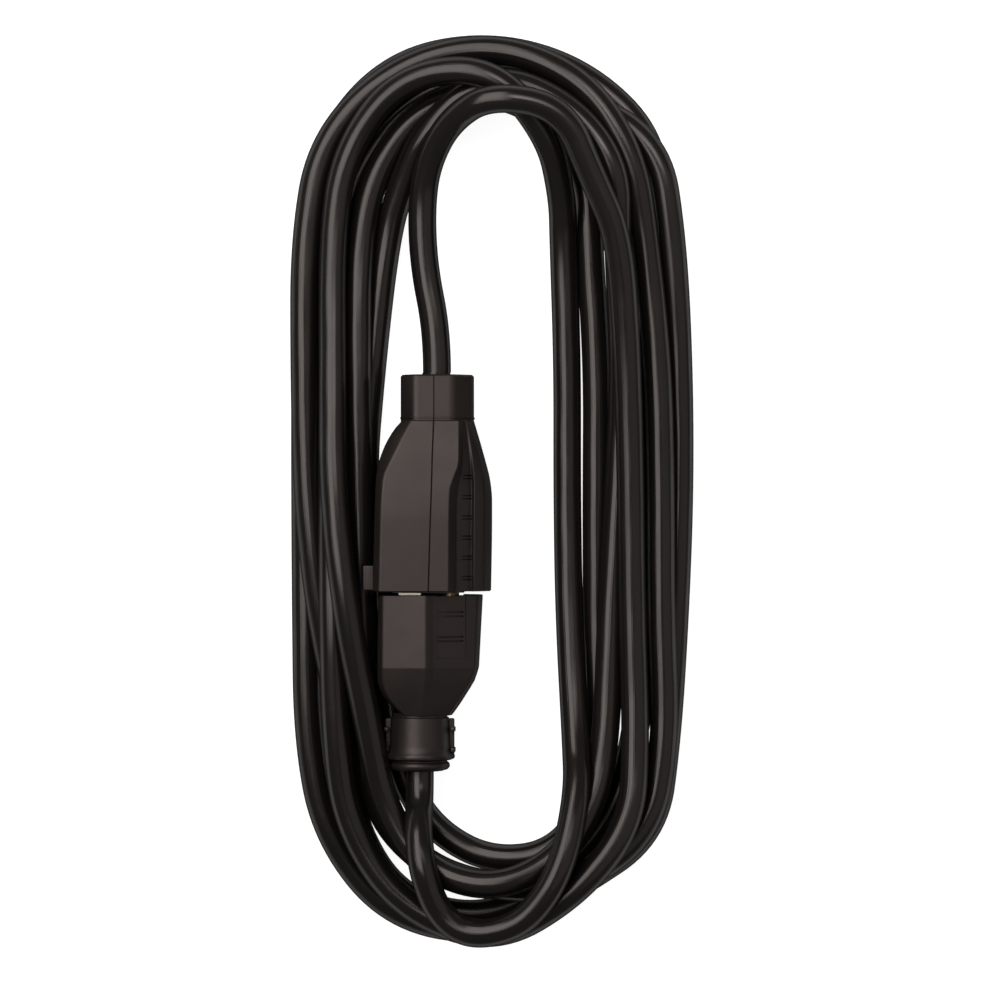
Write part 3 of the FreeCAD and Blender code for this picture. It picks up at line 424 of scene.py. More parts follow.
def moulding_blank(name, rings, corner_rounds, end_rounds):
    """A closed shell over the rings; its edges weigh how many millimetres they are to be rounded."""
    rows, columns = rings.shape[:2]
    bpy.ops.object.select_all(action="DESELECT")
    bpy.ops.mesh.primitive_grid_add(x_subdivisions=columns, y_subdivisions=rows - 1, size=1.0)
    piece = bpy.context.object
    piece.name = name
    piece.data.name = name
    skin = np.concatenate([rings, rings[:, :1]], axis=1)
    piece.data.vertices.foreach_set("co", skin.reshape(-1))
    bpy.ops.object.mode_set(mode="EDIT")
    bpy.ops.mesh.select_all(action="SELECT")
    bpy.ops.mesh.remove_doubles(threshold=MERGE_RINGS)
    bpy.ops.mesh.fill_holes(sides=0)
    bpy.ops.mesh.select_all(action="SELECT")
    bpy.ops.mesh.normals_make_consistent(inside=False)
    bpy.ops.object.mode_set(mode="OBJECT")
    where = {}
    for row in range(rows):
        for column in range(columns):
            where[tuple(np.round(rings[row, column], PLACE_DIGITS))] = (row, column)
    mesh = piece.data
    spot = [where[tuple(np.round(np.array(vertex.co, float), PLACE_DIGITS))] for vertex in mesh.vertices]
    weights = mesh.attributes.new("bevel_weight_edge", "FLOAT", "EDGE")
    for edge in mesh.edges:
        (row, column), (other_row, other_column) = (spot[index] for index in edge.vertices)
        if row != other_row and column == other_column:
            weights.data[edge.index].value = corner_rounds[column]
        if row == other_row and row in end_rounds:
            weights.data[edge.index].value = end_rounds[row]
    return piece


def rounded(piece):
    """Rounds the edges that carry a weight, as many millimetres as it says."""
    active(piece)
    bevel = piece.modifiers.new("round", "BEVEL")
    bevel.limit_method = "WEIGHT"
    bevel.width = MM
    bevel.segments = ROUND_SEGMENTS
    bpy.ops.object.modifier_apply(modifier=bevel.name)
    return piece


def combined(piece, other, way):
    """Joins the other shape to the piece, or cuts it out of it."""
    active(piece)
    step = piece.modifiers.new(way, "BOOLEAN")
    step.operation = way
    step.object = other
    step.solver = "EXACT"
    bpy.ops.object.modifier_apply(modifier=step.name)
    bpy.data.objects.remove(other)


def bars(boxes, round_by=0.0):
    """Small boxes as one shape: each has a size, a middle and a tilt about the cord's direction."""
    made = []
    for size, middle, tilt in boxes:
        bpy.ops.object.select_all(action="DESELECT")
        place = (middle[0] * MM, middle[1] * MM, middle[2] * MM + AXIS_HEIGHT)
        bpy.ops.mesh.primitive_cube_add(size=1.0, location=place, rotation=(0, tilt, 0))
        box = bpy.context.object
        box.scale = [value * MM for value in size]
        bpy.ops.object.transform_apply(location=True, rotation=True, scale=True)
        if round_by:
            bpy.ops.object.mode_set(mode="EDIT")
            bpy.ops.mesh.select_all(action="SELECT")
            bpy.ops.mesh.bevel(offset=round_by * MM, segments=BOX_SEGMENTS, affect="EDGES")
            bpy.ops.object.mode_set(mode="OBJECT")
        made.append(box)
    bpy.ops.object.select_all(action="DESELECT")
    for box in made:
        box.select_set(True)
    bpy.context.view_layer.objects.active = made[0]
    if len(made) > 1:
        bpy.ops.object.join()
    return bpy.context.object


def opening_for(part_name, face_y, outward, room=0.0):
    """The outer shape of a part in a moulding's face, made longer past the face, with room round it."""
    part = nodes[part_name].copy()
    part.data = nodes[part_name].data.copy()
    bpy.context.scene.collection.objects.link(part)
    part.parent = None
    active(part)
    bpy.ops.object.mode_set(mode="EDIT")
    bpy.ops.mesh.select_all(action="SELECT")
    bpy.ops.mesh.remove_doubles(threshold=MERGE_COPY)
    bpy.ops.mesh.convex_hull()
    bpy.ops.object.mode_set(mode="OBJECT")
    middle_x = sum(vertex.co.x for vertex in part.data.vertices) / len(part.data.vertices)
    for vertex in part.data.vertices:
        if abs(vertex.co.y - face_y * MM) < AT_FACE:
            vertex.co.y += outward * MM
        vertex.co.x += math.copysign(room * MM, vertex.co.x - middle_x)
        vertex.co.z += math.copysign(room * MM, vertex.co.z - AXIS_HEIGHT)
    return part


def cord_bore(x, start, end):
    """A round bore for the cord."""
    bpy.ops.object.select_all(action="DESELECT")
    bpy.ops.mesh.primitive_cylinder_add(
        vertices=BORE_SIDES,
        radius=CORD_RADIUS,
        depth=abs(end - start) * MM,
        location=(x * MM, (start + end) / 2 * MM, AXIS_HEIGHT),
        rotation=(math.pi / 2, 0, 0),
    )
    bore = bpy.context.object
    bpy.ops.object.transform_apply(location=True, rotation=True, scale=True)
    return bore


def smooth_by_angle(piece, degrees):
    """Smooth shading that leaves flat faces flat and sharp corners sharp."""
    active(piece)
    bpy.ops.object.shade_smooth()
    bpy.ops.object.mode_set(mode="EDIT")
    bpy.ops.mesh.select_mode(type="EDGE")
    bpy.ops.mesh.select_all(action="DESELECT")
    bpy.ops.mesh.edges_select_sharp(sharpness=math.radians(degrees))
    bpy.ops.mesh.mark_sharp()
    bpy.ops.object.mode_set(mode="OBJECT")
    even = piece.modifiers.new("even", "WEIGHTED_NORMAL")
    even.keep_sharp = True
    bpy.ops.object.modifier_apply(modifier=even.name)


# The connector, in millimetres: each row is a corner of its section, from the left over the top to the right
MOUTH, NECK, COLLAR_END = -5.6, 44.0, 57.3
SLOPE_START = 15.0
FRONT_RINGS, BACK_RINGS = 5, 16
CONNECTOR_STATIONS = [MOUTH, SLOPE_START, 21.0, 24.0, 27.5, 31.5, 35.5, 39.0, 42.0, NECK]
CONNECTOR_TOP = [14.0, 13.9, 13.6, 13.4, 13.1, 12.7, 12.3, 11.8, 11.4, 11.1]
PARTING_HALF, PARTING_DEPTH = 0.22, 0.3
PARTING_MIDDLE = [-1.1, -0.5, -0.3, -0.2, -0.1, 0.0, 0.1, 0.25, 0.35, 0.4]
PARTING_LEFT = [x - PARTING_HALF for x in PARTING_MIDDLE]
PARTING_RIGHT = [x + PARTING_HALF for x in PARTING_MIDDLE]
PARTING_FLOOR = [z - PARTING_DEPTH for z in CONNECTOR_TOP]
CONNECTOR_ACROSS = [
    [-17.2, -16.8, -16.6, -16.5, -16.3, -15.6, -14.3, -12.6, -10.6, -9.0],
    [-15.4, -14.9, -14.7, -14.5, -14.1, -12.4, -10.4, -8.7, -7.1, -6.2],
    PARTING_LEFT,
    PARTING_MIDDLE,
    PARTING_RIGHT,
    [4.7, 4.8, 4.9, 5.1, 6.2, 7.6, 7.7, 7.7, 7.7, 7.7],
    [7.1, 7.1, 7.2, 7.5, 8.2, 8.9, 8.9, 8.8, 8.7, 8.6],
    [11.2, 11.2, 11.3, 11.3, 11.2, 11.0, 10.6, 10.2, 9.8, 9.6],
    [12.0, 12.1, 12.2, 12.2, 12.1, 11.8, 11.3, 10.8, 10.3, 10.0],
    [14.9, 15.0, 15.1, 15.0, 14.8, 14.2, 13.4, 12.6, 11.8, 11.3],
    [17.0, 17.3, 17.3, 17.1, 16.6, 15.6, 14.5, 13.5, 12.6, 12.1],
]
CONNECTOR_HEIGHT = [
    [10.6, 10.5, 10.2, 10.0, 9.7, 8.9, 8.3, 8.0, 7.9, 7.8],
    CONNECTOR_TOP,
    CONNECTOR_TOP,
    PARTING_FLOOR,
    CONNECTOR_TOP,
    CONNECTOR_TOP,
    [10.5, 10.4, 10.2, 10.2, 10.4, 10.6, 10.3, 10.0, 9.8, 9.7],
    [7.6, 7.6, 7.6, 7.6, 7.8, 8.4, 8.4, 8.4, 8.5, 8.6],
    [8.8, 8.8, 8.8, 8.8, 8.8, 8.9, 8.6, 8.5, 8.4, 8.5],
    [6.6, 6.6, 6.6, 6.6, 6.6, 6.5, 6.4, 6.3, 6.2, 6.1],
    [3.0, 3.0, 3.0, 3.0, 3.0, 3.0, 3.0, 3.0, 3.0, 3.0],
]
CONNECTOR_ROUNDS = [0.7, 0.8, 0.0, 0.0, 0.0, 0.35, 0.4, 0.25, 0.25, 0.8, 0.9]
CHANNEL_TILT = math.radians(35.3)
CHANNEL_MIDDLE = (9.95, 8.48)
SLOT_FIRST, SLOT_PITCH, SLOT_PAIRS, SLOT_SPACING = -1.7, 5.85, 6, 0.9
SLOT_SIZE = (3.4, 0.4, 1.6)
LUG_SIZE, LUG_MIDDLE, LUG_ROUND = (3.4, 7.3, 5.0), (-18.6, MOUTH + 3.85, 3.6), 0.5
# The lip under the mouth is a dark piece put there as painted shade: it hides the floor through the gap, so
# the gap shows dark
GAP_SHADE_LIP_SIZE, GAP_SHADE_LIP_MIDDLE, GAP_SHADE_LIP_ROUND = (19.8, 3.4, 1.0), (-5.3, MOUTH - 0.6, -13.3), 0.2
CONTACT_FACE, PAST_CONTACT = -6.0, -1.0


def drawn_in(rings, first=0.0, last=0.0):
    """The rings with one more at either end, drawn in by so many millimetres to break the end's edge."""
    finished = list(rings)
    for index, amount in ((0, first), (-1, last)):
        if not amount:
            continue
        end, inner = rings[index], rings[index + (1 if index == 0 else -1)]
        middle = (end.min(axis=0) + end.max(axis=0)) / 2
        reach = (end.max(axis=0) - end.min(axis=0)) / 2
        smaller = end.copy()
        for axis in (0, 2):
            smaller[:, axis] = middle[axis] + (end[:, axis] - middle[axis]) * (1 - amount * MM / reach[axis])
        back = end.copy()
        back[:, 1] += math.copysign(amount * MM, (inner - end)[0, 1])
        if index == 0:
            finished = [smaller, back] + finished[1:]
        else:
            finished = finished[:-1] + [back, smaller]
    return np.array(finished)


def connector_shell():
    """The connector's body with its parting line, slots, lug and a dark lip under the mouth that stands in
    for the shade in the gap, open for the contact block.
    """
    places = [*np.linspace(MOUTH, SLOPE_START, FRONT_RINGS), *np.linspace(SLOPE_START, NECK, BACK_RINGS)[1:]]
    rings = section_rings(CONNECTOR_STATIONS, CONNECTOR_ACROSS, CONNECTOR_HEIGHT, places)
    rings = drawn_in(rings, EDGE_BREAK, EDGE_BREAK)
    rounds = CONNECTOR_ROUNDS + CONNECTOR_ROUNDS[::-1]
    shell = rounded(moulding_blank("connector_shell", rings, rounds, {}))
    slots = []
    for number in range(SLOT_PAIRS):
        y = SLOT_FIRST + number * SLOT_PITCH
        for side in (1, -1):
            for edge in (-1, 1):
                place = (CHANNEL_MIDDLE[0], y + edge * SLOT_SPACING / 2, side * CHANNEL_MIDDLE[1])
                slots.append((SLOT_SIZE, place, side * CHANNEL_TILT))
    combined(shell, bars(slots), "DIFFERENCE")
    combined(shell, bars([(LUG_SIZE, LUG_MIDDLE, 0.0)], LUG_ROUND), "UNION")
    # A dark lip under the mouth, standing in for the shade in the gap between the two ends
    combined(shell, bars([(GAP_SHADE_LIP_SIZE, GAP_SHADE_LIP_MIDDLE, 0.0)], GAP_SHADE_LIP_ROUND), "UNION")
    combined(shell, opening_for("connector_contact_block", CONTACT_FACE, PAST_CONTACT), "DIFFERENCE")
    smooth_by_angle(shell, MOULDING_SHARP)
    return shell


# The collar behind the connector, with a fine groove on its top and a low ring at its start
COLLAR_TOP = 10.3
COLLAR_UPPER = [
    (-9.3, 4.6),
    (-8.9, 6.2),
    (-5.6, 10.0),
    (-4.4, COLLAR_TOP),
    (0.25, COLLAR_TOP),
    (0.45, COLLAR_TOP - PARTING_DEPTH / 2),
    (0.65, COLLAR_TOP),
    (5.2, COLLAR_TOP),
    (6.4, 9.9),
    (11.5, 5.4),
    (12.0, 3.8),
]
COLLAR_STATIONS = [NECK - 1.0, NECK + 0.45, NECK + 0.55, NECK + 0.85, NECK + 0.95, 50.0, 53.0, COLLAR_END]
COLLAR_SWELL = [1.0, 1.0, 1.02, 1.02, 1.0, 1.0, 1.0, 1.0]
COLLAR_ROUNDS = [0.6, 0.6, 0.5, 0.5, 0.0, 0.0, 0.0, 0.5, 0.5, 0.6, 0.6]
COLLAR_END_BREAK = 0.5
COLLAR_X = 1.0


def connector_collar():
    """The collar, bored for the cord."""
    across = [[x * wider for wider in COLLAR_SWELL] for x, z in COLLAR_UPPER]
    height = [[z * wider for wider in COLLAR_SWELL] for x, z in COLLAR_UPPER]
    rings = section_rings(COLLAR_STATIONS, across, height, COLLAR_STATIONS)
    rings = drawn_in(rings, last=COLLAR_END_BREAK)
    collar = rounded(moulding_blank("connector_sleeve", rings, COLLAR_ROUNDS + COLLAR_ROUNDS[::-1], {}))
    combined(collar, cord_bore(COLLAR_X, NECK - BORE_INSIDE, COLLAR_END + BORE_OUTSIDE), "DIFFERENCE")
    smooth_by_angle(collar, MOULDING_SHARP)
    return collar


# The plug, in millimetres: its taper in five sections, and the straight part between shoulder and face
PLUG_FACE, SHOULDER, PLUG_NECK, PLUG_END = -6.65, -27.7, -41.8, -58.0
PLUG_STATIONS = [PLUG_NECK, -38.5, -35.0, -31.5, SHOULDER]
PLUG_TAPER_ACROSS = [
    [-8.9, -12.4, -14.9, -16.0, -16.0],
    [-8.0, -11.2, -13.4, -14.4, -14.5],
    [-3.2, -2.8, -2.4, -2.0, -1.7],
    [-1.5, -1.0, -0.6, -0.2, 0.3],
    [4.9, 7.1, 9.2, 11.3, 12.4],
    [5.6, 8.0, 10.2, 12.3, 13.5],
]
PLUG_TAPER_HEIGHT = [
    [4.6, 5.6, 6.7, 7.7, 8.6],
    [7.5, 8.4, 9.4, 10.3, 11.2],
    [8.9, 9.9, 10.9, 11.9, 12.7],
    [8.1, 8.8, 9.5, 10.2, 10.9],
    [4.2, 4.2, 4.2, 4.2, 4.2],
    [1.8, 1.8, 1.8, 1.8, 1.8],
]
PLUG_FACE_ACROSS = [-15.8, -14.4, -1.7, 0.3, 13.1, 14.6]
PLUG_ROUNDS = [0.8, 0.6, 0.5, 0.5, 0.6, 0.8]
PANEL_TILT = math.radians(25.7)
PANEL_LOW, PANEL_HIGH = (0.9, 9.84), (9.6, 5.65)
TAPER_RINGS, BODY_RINGS = 8, 7
NECK_ROUND, SHOULDER_ROUND, FACE_ROUND = 0.3, 0.25, 0.3
PANEL_WIDTH = math.hypot(PANEL_HIGH[0] - PANEL_LOW[0], PANEL_HIGH[1] - PANEL_LOW[1])
PANEL_REACH, PANEL_ROOM, PAST_FACE = 18.3, 3.0, 1.0

# The front pair of slots is shallow over the bridge, and deeper further down the slope
FRONT_PAIR_Y, FRONT_PAIR_DEPTH = -12.2, 0.3
BACK_PAIR_Y, BACK_PAIR_DEPTH = -19.4, 0.9
PAIR_SPACING, PAIR_WIDTH, PAIR_MARGIN = 1.2, 0.45, 1.4
DEEPER_WIDTH, DEEPER_MARGIN, DEEPER_ROOM, DEEPER_SHIFT = 0.5, 4.4, 1.6, 1.4
BRIDGE_FACE, PAST_BRIDGE = -7.3, 1.6
CONTACT_ROOM = 0.1


def on_panel(side, lift, y, along=0.0):
    """A place on the plug's upper or lower panel, lifted off it and moved down its slope."""
    out_x, out_z = math.sin(PANEL_TILT), math.cos(PANEL_TILT)
    x = (PANEL_LOW[0] + PANEL_HIGH[0]) / 2 + lift * out_x + along * out_z
    z = (PANEL_LOW[1] + PANEL_HIGH[1]) / 2 + lift * out_z - along * out_x
    return x, y, side * z


def plug_shell():
    """The plug's body with its slotted panels, open for the bridge and eased for the contact block."""
    taper_places = np.linspace(PLUG_NECK, SHOULDER, TAPER_RINGS)
    taper = section_rings(PLUG_STATIONS, PLUG_TAPER_ACROSS, PLUG_TAPER_HEIGHT, taper_places)
    body_places = np.linspace(SHOULDER, PLUG_FACE, BODY_RINGS)
    across = [[row[-1], face] for row, face in zip(PLUG_TAPER_ACROSS, PLUG_FACE_ACROSS)]
    height = [[row[-1], row[-1]] for row in PLUG_TAPER_HEIGHT]
    body = section_rings([SHOULDER, PLUG_FACE], across, height, body_places)
    rings = np.concatenate([taper, body[1:]])
    ends = {0: NECK_ROUND, TAPER_RINGS - 1: SHOULDER_ROUND, len(rings) - 1: FACE_ROUND}
    shell = rounded(moulding_blank("plug_shell", rings, PLUG_ROUNDS + PLUG_ROUNDS[::-1], ends))
    recess, slots, deeper = [], [], []
    recess_size = (PANEL_WIDTH, PANEL_REACH + PAST_FACE, PANEL_ROOM)
    recess_y = PLUG_FACE - (PANEL_REACH - PAST_FACE) / 2
    for side in (1, -1):
        tilt = side * PANEL_TILT
        recess.append((recess_size, on_panel(side, PANEL_ROOM / 2, recess_y), tilt))
        for pair_y, depth in ((FRONT_PAIR_Y, FRONT_PAIR_DEPTH), (BACK_PAIR_Y, BACK_PAIR_DEPTH)):
            for edge in (-1, 1):
                size = (PANEL_WIDTH - PAIR_MARGIN, PAIR_WIDTH, 2 * depth)
                slots.append((size, on_panel(side, 0.0, pair_y + edge * PAIR_SPACING / 2), tilt))
        for edge in (-1, 1):
            size = (PANEL_WIDTH - DEEPER_MARGIN, DEEPER_WIDTH, DEEPER_ROOM)
            slot_y = FRONT_PAIR_Y + edge * PAIR_SPACING / 2
            deeper.append((size, on_panel(side, 0.0, slot_y, DEEPER_SHIFT), tilt))
    combined(shell, bars(recess), "DIFFERENCE")
    combined(shell, bars(slots), "DIFFERENCE")
    combined(shell, bars(deeper), "DIFFERENCE")
    combined(shell, opening_for("plug_blade_bridge", BRIDGE_FACE, PAST_BRIDGE), "DIFFERENCE")
    eased = opening_for("connector_contact_block", CONTACT_FACE, PAST_CONTACT, CONTACT_ROOM)
    combined(shell, eased, "DIFFERENCE")
    smooth_by_angle(shell, MOULDING_SHARP)
    return shell


# The plug's strain relief: how wide and how high it is along the cord, its side wings and their cross rungs
RELIEF_X = -3.8
RELIEF_PROFILE = [
    (PLUG_NECK + 0.8, 8.0, 8.0),
    (PLUG_NECK - 0.4, 8.0, 8.0),
    (PLUG_NECK - 0.7, 8.5, 8.5),
    (-46.0, 8.7, 8.7),
    (-50.5, 8.9, 8.9),
    (-52.2, 9.1, 9.1),
    (-53.0, 9.9, 9.6),
    (-53.7, 10.3, 9.9),
    (-54.4, 10.1, 9.7),
    (-54.8, 9.2, 9.0),
    (-55.0, 8.0, 7.9),
    (-55.3, 8.0, 7.9),
    (-55.6, 8.5, 8.3),
    (-56.3, 8.8, 8.6),
    (-57.0, 8.7, 8.5),
    (-57.6, 8.1, 8.0),
    (PLUG_END, 6.8, 6.8),
]
RELIEF_SIDES = 40
WINGS_SIZE, WINGS_MIDDLE, WINGS_ROUND = (20.2, 11.2, 2.2), (RELIEF_X, -48.4, -0.6), 0.4
RUNG_SIZE, RUNG_REACH, RUNG_ROUND = (1.5, 1.4, 5.6), 9.7, 0.4
RUNG_ROWS = (-45.9, -51.9)


def plug_relief():
    """The flared strain relief with its wings, rungs and end ring, bored for the cord."""
    turn = np.linspace(0, 2 * math.pi, RELIEF_SIDES, endpoint=False)
    rings = []
    for y, wide, high in RELIEF_PROFILE:
        x = (RELIEF_X + wide * np.cos(turn)) * MM
        z = high * np.sin(turn) * MM + AXIS_HEIGHT
        rings.append(np.stack([x, np.full(RELIEF_SIDES, y * MM), z], axis=-1))
    relief = moulding_blank("plug_relief", np.array(rings), [0.0] * RELIEF_SIDES, {})
    combined(relief, bars([(WINGS_SIZE, WINGS_MIDDLE, 0.0)], WINGS_ROUND), "UNION")
    rungs = []
    for y in RUNG_ROWS:
        for side in (-1, 1):
            rungs.append((RUNG_SIZE, (RELIEF_X + side * RUNG_REACH, y, 0.0), 0.0))
    combined(relief, bars(rungs, RUNG_ROUND), "UNION")
    bore = cord_bore(RELIEF_X, PLUG_END - BORE_OUTSIDE, PLUG_NECK + BORE_INSIDE)
    combined(relief, bore, "DIFFERENCE")
    smooth_by_angle(relief, RELIEF_SHARP)
    return relief


connector_body = connector_shell()
connector_sleeve = connector_collar()
plug_body = plug_shell()
relief = plug_relief()
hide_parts("connector_body")
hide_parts("connector_collar")
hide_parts("plug_body")
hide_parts("plug_strain_relief")
for piece in (connector_body, connector_sleeve):
    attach(piece, "connector")
for piece in (plug_body, relief):
    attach(piece, "cord_and_plug")


# Materials: three effects that more than one material uses, then the finishes
def effect(name, inputs, outputs):
    """An empty shader node group with named inputs and outputs."""
    group = bpy.data.node_groups.new(name, "ShaderNodeTree")
    for label, kind, default in inputs:
        socket = group.interface.new_socket(name=label, in_out="INPUT", socket_type=kind)
        if default is not None:
            socket.default_value = default
    for label, kind in outputs:
        group.interface.new_socket(name=label, in_out="OUTPUT", socket_type=kind)
    return group, group.nodes.new("NodeGroupInput"), group.nodes.new("NodeGroupOutput")


def node(tree, kind, links=None, **settings):
    """A node with its settings, and with its inputs linked to other nodes' outputs or set to values."""
    made = tree.nodes.new("ShaderNode" + kind)
    for key, value in settings.items():
        setattr(made, key, value)
    for label, source in (links or {}).items():
        socket = made.inputs[label]
        if isinstance(source, bpy.types.NodeSocket):
            tree.links.new(source, socket)
        else:
            socket.default_value = source
    return made


def colour_drift():
    """Two close colours that drift into each other in soft patches."""
    group, given, result = effect(
        "colour_drift",
        [
            ("Place", "NodeSocketVector", None),
            ("Colour", "NodeSocketColor", (0.01, 0.01, 0.01, 1.0)),
            ("Other Colour", "NodeSocketColor", (0.01, 0.01, 0.01, 1.0)),
            ("Scale", "NodeSocketFloat", 60.0),
        ],
        [("Colour", "NodeSocketColor")],
    )
    place, scale = given.outputs["Place"], given.outputs["Scale"]
    cloud = node(group, "TexNoise", {"Vector": place, "Scale": scale, "Detail": 4.0})
    patch = node(group, "MapRange", {"Value": cloud.outputs["Fac"], "From Min": 0.35, "From Max": 0.65})
    mixed = node(
        group,
        "MixRGB",
        {
            "Fac": patch.outputs["Result"],
            "Color1": given.outputs["Colour"],
            "Color2": given.outputs["Other Colour"],
        },
    )
    group.links.new(mixed.outputs["Color"], result.inputs["Colour"])
    return group


def fine_grain():
    """The fine grain of a moulded or drawn surface: a height, and a roughness that changes with it."""
    group, given, result = effect(
        "fine_grain",
        [
            ("Place", "NodeSocketVector", None),
            ("Grain Scale", "NodeSocketFloat", 2500.0),
            ("Smooth", "NodeSocketFloat", 0.3),
            ("Rough", "NodeSocketFloat", 0.5),
        ],
        [("Height", "NodeSocketFloat"), ("Roughness", "NodeSocketFloat")],
    )
    place, scale = given.outputs["Place"], given.outputs["Grain Scale"]
    grain = node(group, "TexNoise", {"Vector": place, "Scale": scale, "Detail": 3.0, "Roughness": 0.6})
    broad_scale = node(group, "Math", {0: scale, 1: 0.04}, operation="MULTIPLY")
    broad = node(
        group,
        "TexNoise",
        {"Vector": place, "Scale": broad_scale.outputs[0], "Detail": 5.0, "Roughness": 0.65},
    )
    both = node(group, "Math", {0: grain.outputs["Fac"], 1: broad.outputs["Fac"]}, operation="ADD")
    shine = node(
        group,
        "MapRange",
        {
            "Value": broad.outputs["Fac"],
            "From Min": 0.3,
            "From Max": 0.7,
            "To Min": given.outputs["Smooth"],
            "To Max": given.outputs["Rough"],
        },
    )
    group.links.new(both.outputs[0], result.inputs["Height"])
    group.links.new(shine.outputs["Result"], result.inputs["Roughness"])
    return group


def streaks():
    """Fine lines along one direction, as drawing, brushing or stranding leaves them."""
    group, given, result = effect(
        "streaks",
        [
            ("Place", "NodeSocketVector", None),
            ("Across", "NodeSocketFloat", 900.0),
            ("Along", "NodeSocketFloat", 20.0),
        ],
        [("Height", "NodeSocketFloat")],
    )
    stretch = node(
        group,
        "CombineXYZ",
        {"X": given.outputs["Across"], "Y": given.outputs["Along"], "Z": given.outputs["Across"]},
    )
    drawn = node(
        group, "VectorMath", {0: given.outputs["Place"], 1: stretch.outputs["Vector"]}, operation="MULTIPLY"
    )
    lines = node(group, "TexNoise", {"Vector": drawn.outputs["Vector"], "Scale": 1.0, "Detail": 3.0})
    group.links.new(lines.outputs["Fac"], result.inputs["Height"])
    return group


COLOUR_DRIFT, FINE_GRAIN, STREAKS = colour_drift(), fine_grain(), streaks()


def placed(tree, group, links):
    """One of the effects, placed in a material with its own values."""
    made = tree.nodes.new("ShaderNodeGroup")
    made.node_tree = group
    for label, source in links.items():
        if isinstance(source, bpy.types.NodeSocket):
            tree.links.new(source, made.inputs[label])
        else:
            made.inputs[label].default_value = source
    return made


# Seen at a slant the finishes are rougher and shine less, between these shares of the slant
ROUGHER_FROM, ROUGHER_TO, ROUGH_EDGE = 0.35, 0.7, 0.8
DULLER_FROM, DULLER_TO, EDGE_SHINE = 0.3, 0.75, 0.12
GRAIN_HEIGHT = 0.00005


def finish(name, colour, other, drift, grain, smooth, rough, bump, shine=0.5, **constants):
    """A finish with drifting colour, grain and uneven gloss; constants go on the shader's own sockets."""
    made = bpy.data.materials.new(name)
    made.use_nodes = True
    tree = made.node_tree
    shader = tree.nodes["Principled BSDF"]
    place = node(tree, "TexCoord").outputs["Object"]
    tint = placed(
        tree,
        COLOUR_DRIFT,
        {"Place": place, "Colour": (*colour, 1.0), "Other Colour": (*other, 1.0), "Scale": drift},
    )
    skin = placed(tree, FINE_GRAIN, {"Place": place, "Grain Scale": grain, "Smooth": smooth, "Rough": rough})
    relief_node = node(
        tree, "Bump", {"Height": skin.outputs["Height"], "Strength": bump, "Distance": GRAIN_HEIGHT}
    )
    tree.links.new(tint.outputs["Colour"], shader.inputs["Base Color"])
    slant = node(tree, "LayerWeight", {"Blend": 0.5}).outputs["Facing"]
    edge = node(tree, "MapRange", {"Value": slant, "From Min": ROUGHER_FROM, "From Max": ROUGHER_TO})
    spread = node(
        tree,
        "MixRGB",
        {
            "Fac": edge.outputs["Result"],
            "Color1": skin.outputs["Roughness"],
            "Color2": (ROUGH_EDGE, ROUGH_EDGE, ROUGH_EDGE, 1.0),
        },
    )
    tree.links.new(spread.outputs["Color"], shader.inputs["Roughness"])
    fade = node(
        tree,
        "MapRange",
        {
            "Value": slant,
            "From Min": DULLER_FROM,
            "From Max": DULLER_TO,
            "To Min": shine,
            "To Max": shine * EDGE_SHINE,
        },
    )
    tree.links.new(fade.outputs["Result"], shader.inputs["Specular IOR Level"])
    tree.links.new(relief_node.outputs["Normal"], shader.inputs["Normal"])
    for label, value in constants.items():
        shader.inputs[label.replace("_", " ")].default_value = value
    return made, tree, shader, relief_node


def with_lines(made, along, across, strength, distance):
    """Adds drawn or brushed lines over a finish's grain."""
    material, tree, shader, grain = made
    place = node(tree, "TexCoord").outputs["Object"]
    lines = placed(tree, STREAKS, {"Place": place, "Across": across, "Along": along})
    over = node(
        tree,
        "Bump",
        {
            "Height": lines.outputs["Height"],
            "Strength": strength,
            "Distance": distance,
            "Normal": grain.outputs["Normal"],
        },
    )
    tree.links.new(over.outputs["Normal"], shader.inputs["Normal"])
    return material


CONDUCTORS, LAYS_PER_METRE, LAY_HEIGHT = 3, 14.0, 0.35
JACKET_LINES_ACROSS, JACKET_LINES_ALONG = 60.0, 9.0


def jacket_finish():
    """Round black cord: a soft shine, faint drawing lines, and the lay of the conductors felt through."""
    made, tree, shader, grain = finish(
        "cord_jacket",
        (0.0050, 0.0042, 0.0038),
        (0.0070, 0.0055, 0.0047),
        drift=22.0,
        grain=1500.0,
        smooth=0.16,
        rough=0.25,
        bump=0.05,
        shine=0.33,
        Specular_Tint=(1.0, 0.91, 0.86, 1.0),
    )
    way = node(tree, "UVMap", uv_map="way_along").outputs["UV"]
    parts = node(tree, "SeparateXYZ", {"Vector": way})
    pitch = node(tree, "Math", {0: parts.outputs["Y"], 1: LAYS_PER_METRE}, operation="MULTIPLY")
    turns = node(tree, "Math", {0: parts.outputs["X"], 1: pitch.outputs[0]}, operation="ADD")
    phase = node(tree, "Math", {0: turns.outputs[0], 1: CONDUCTORS * 2 * math.pi}, operation="MULTIPLY")
    lay = node(tree, "Math", {0: phase.outputs[0]}, operation="SINE")
    across = node(tree, "CombineXYZ", {"X": parts.outputs["X"], "Y": parts.outputs["Y"]})
    lines = placed(
        tree,
        STREAKS,
        {"Place": across.outputs["Vector"], "Across": JACKET_LINES_ACROSS, "Along": JACKET_LINES_ALONG},
    )
    raised = node(tree, "Math", {0: lay.outputs[0], 1: LAY_HEIGHT}, operation="MULTIPLY")
    both = node(tree, "Math", {0: raised.outputs[0], 1: lines.outputs["Height"]}, operation="ADD")
    over = node(
        tree,
        "Bump",
        {"Height": both.outputs[0], "Strength": 0.5, "Distance": 0.0001, "Normal": grain.outputs["Normal"]},
    )
    tree.links.new(over.outputs["Normal"], shader.inputs["Normal"])
    return made


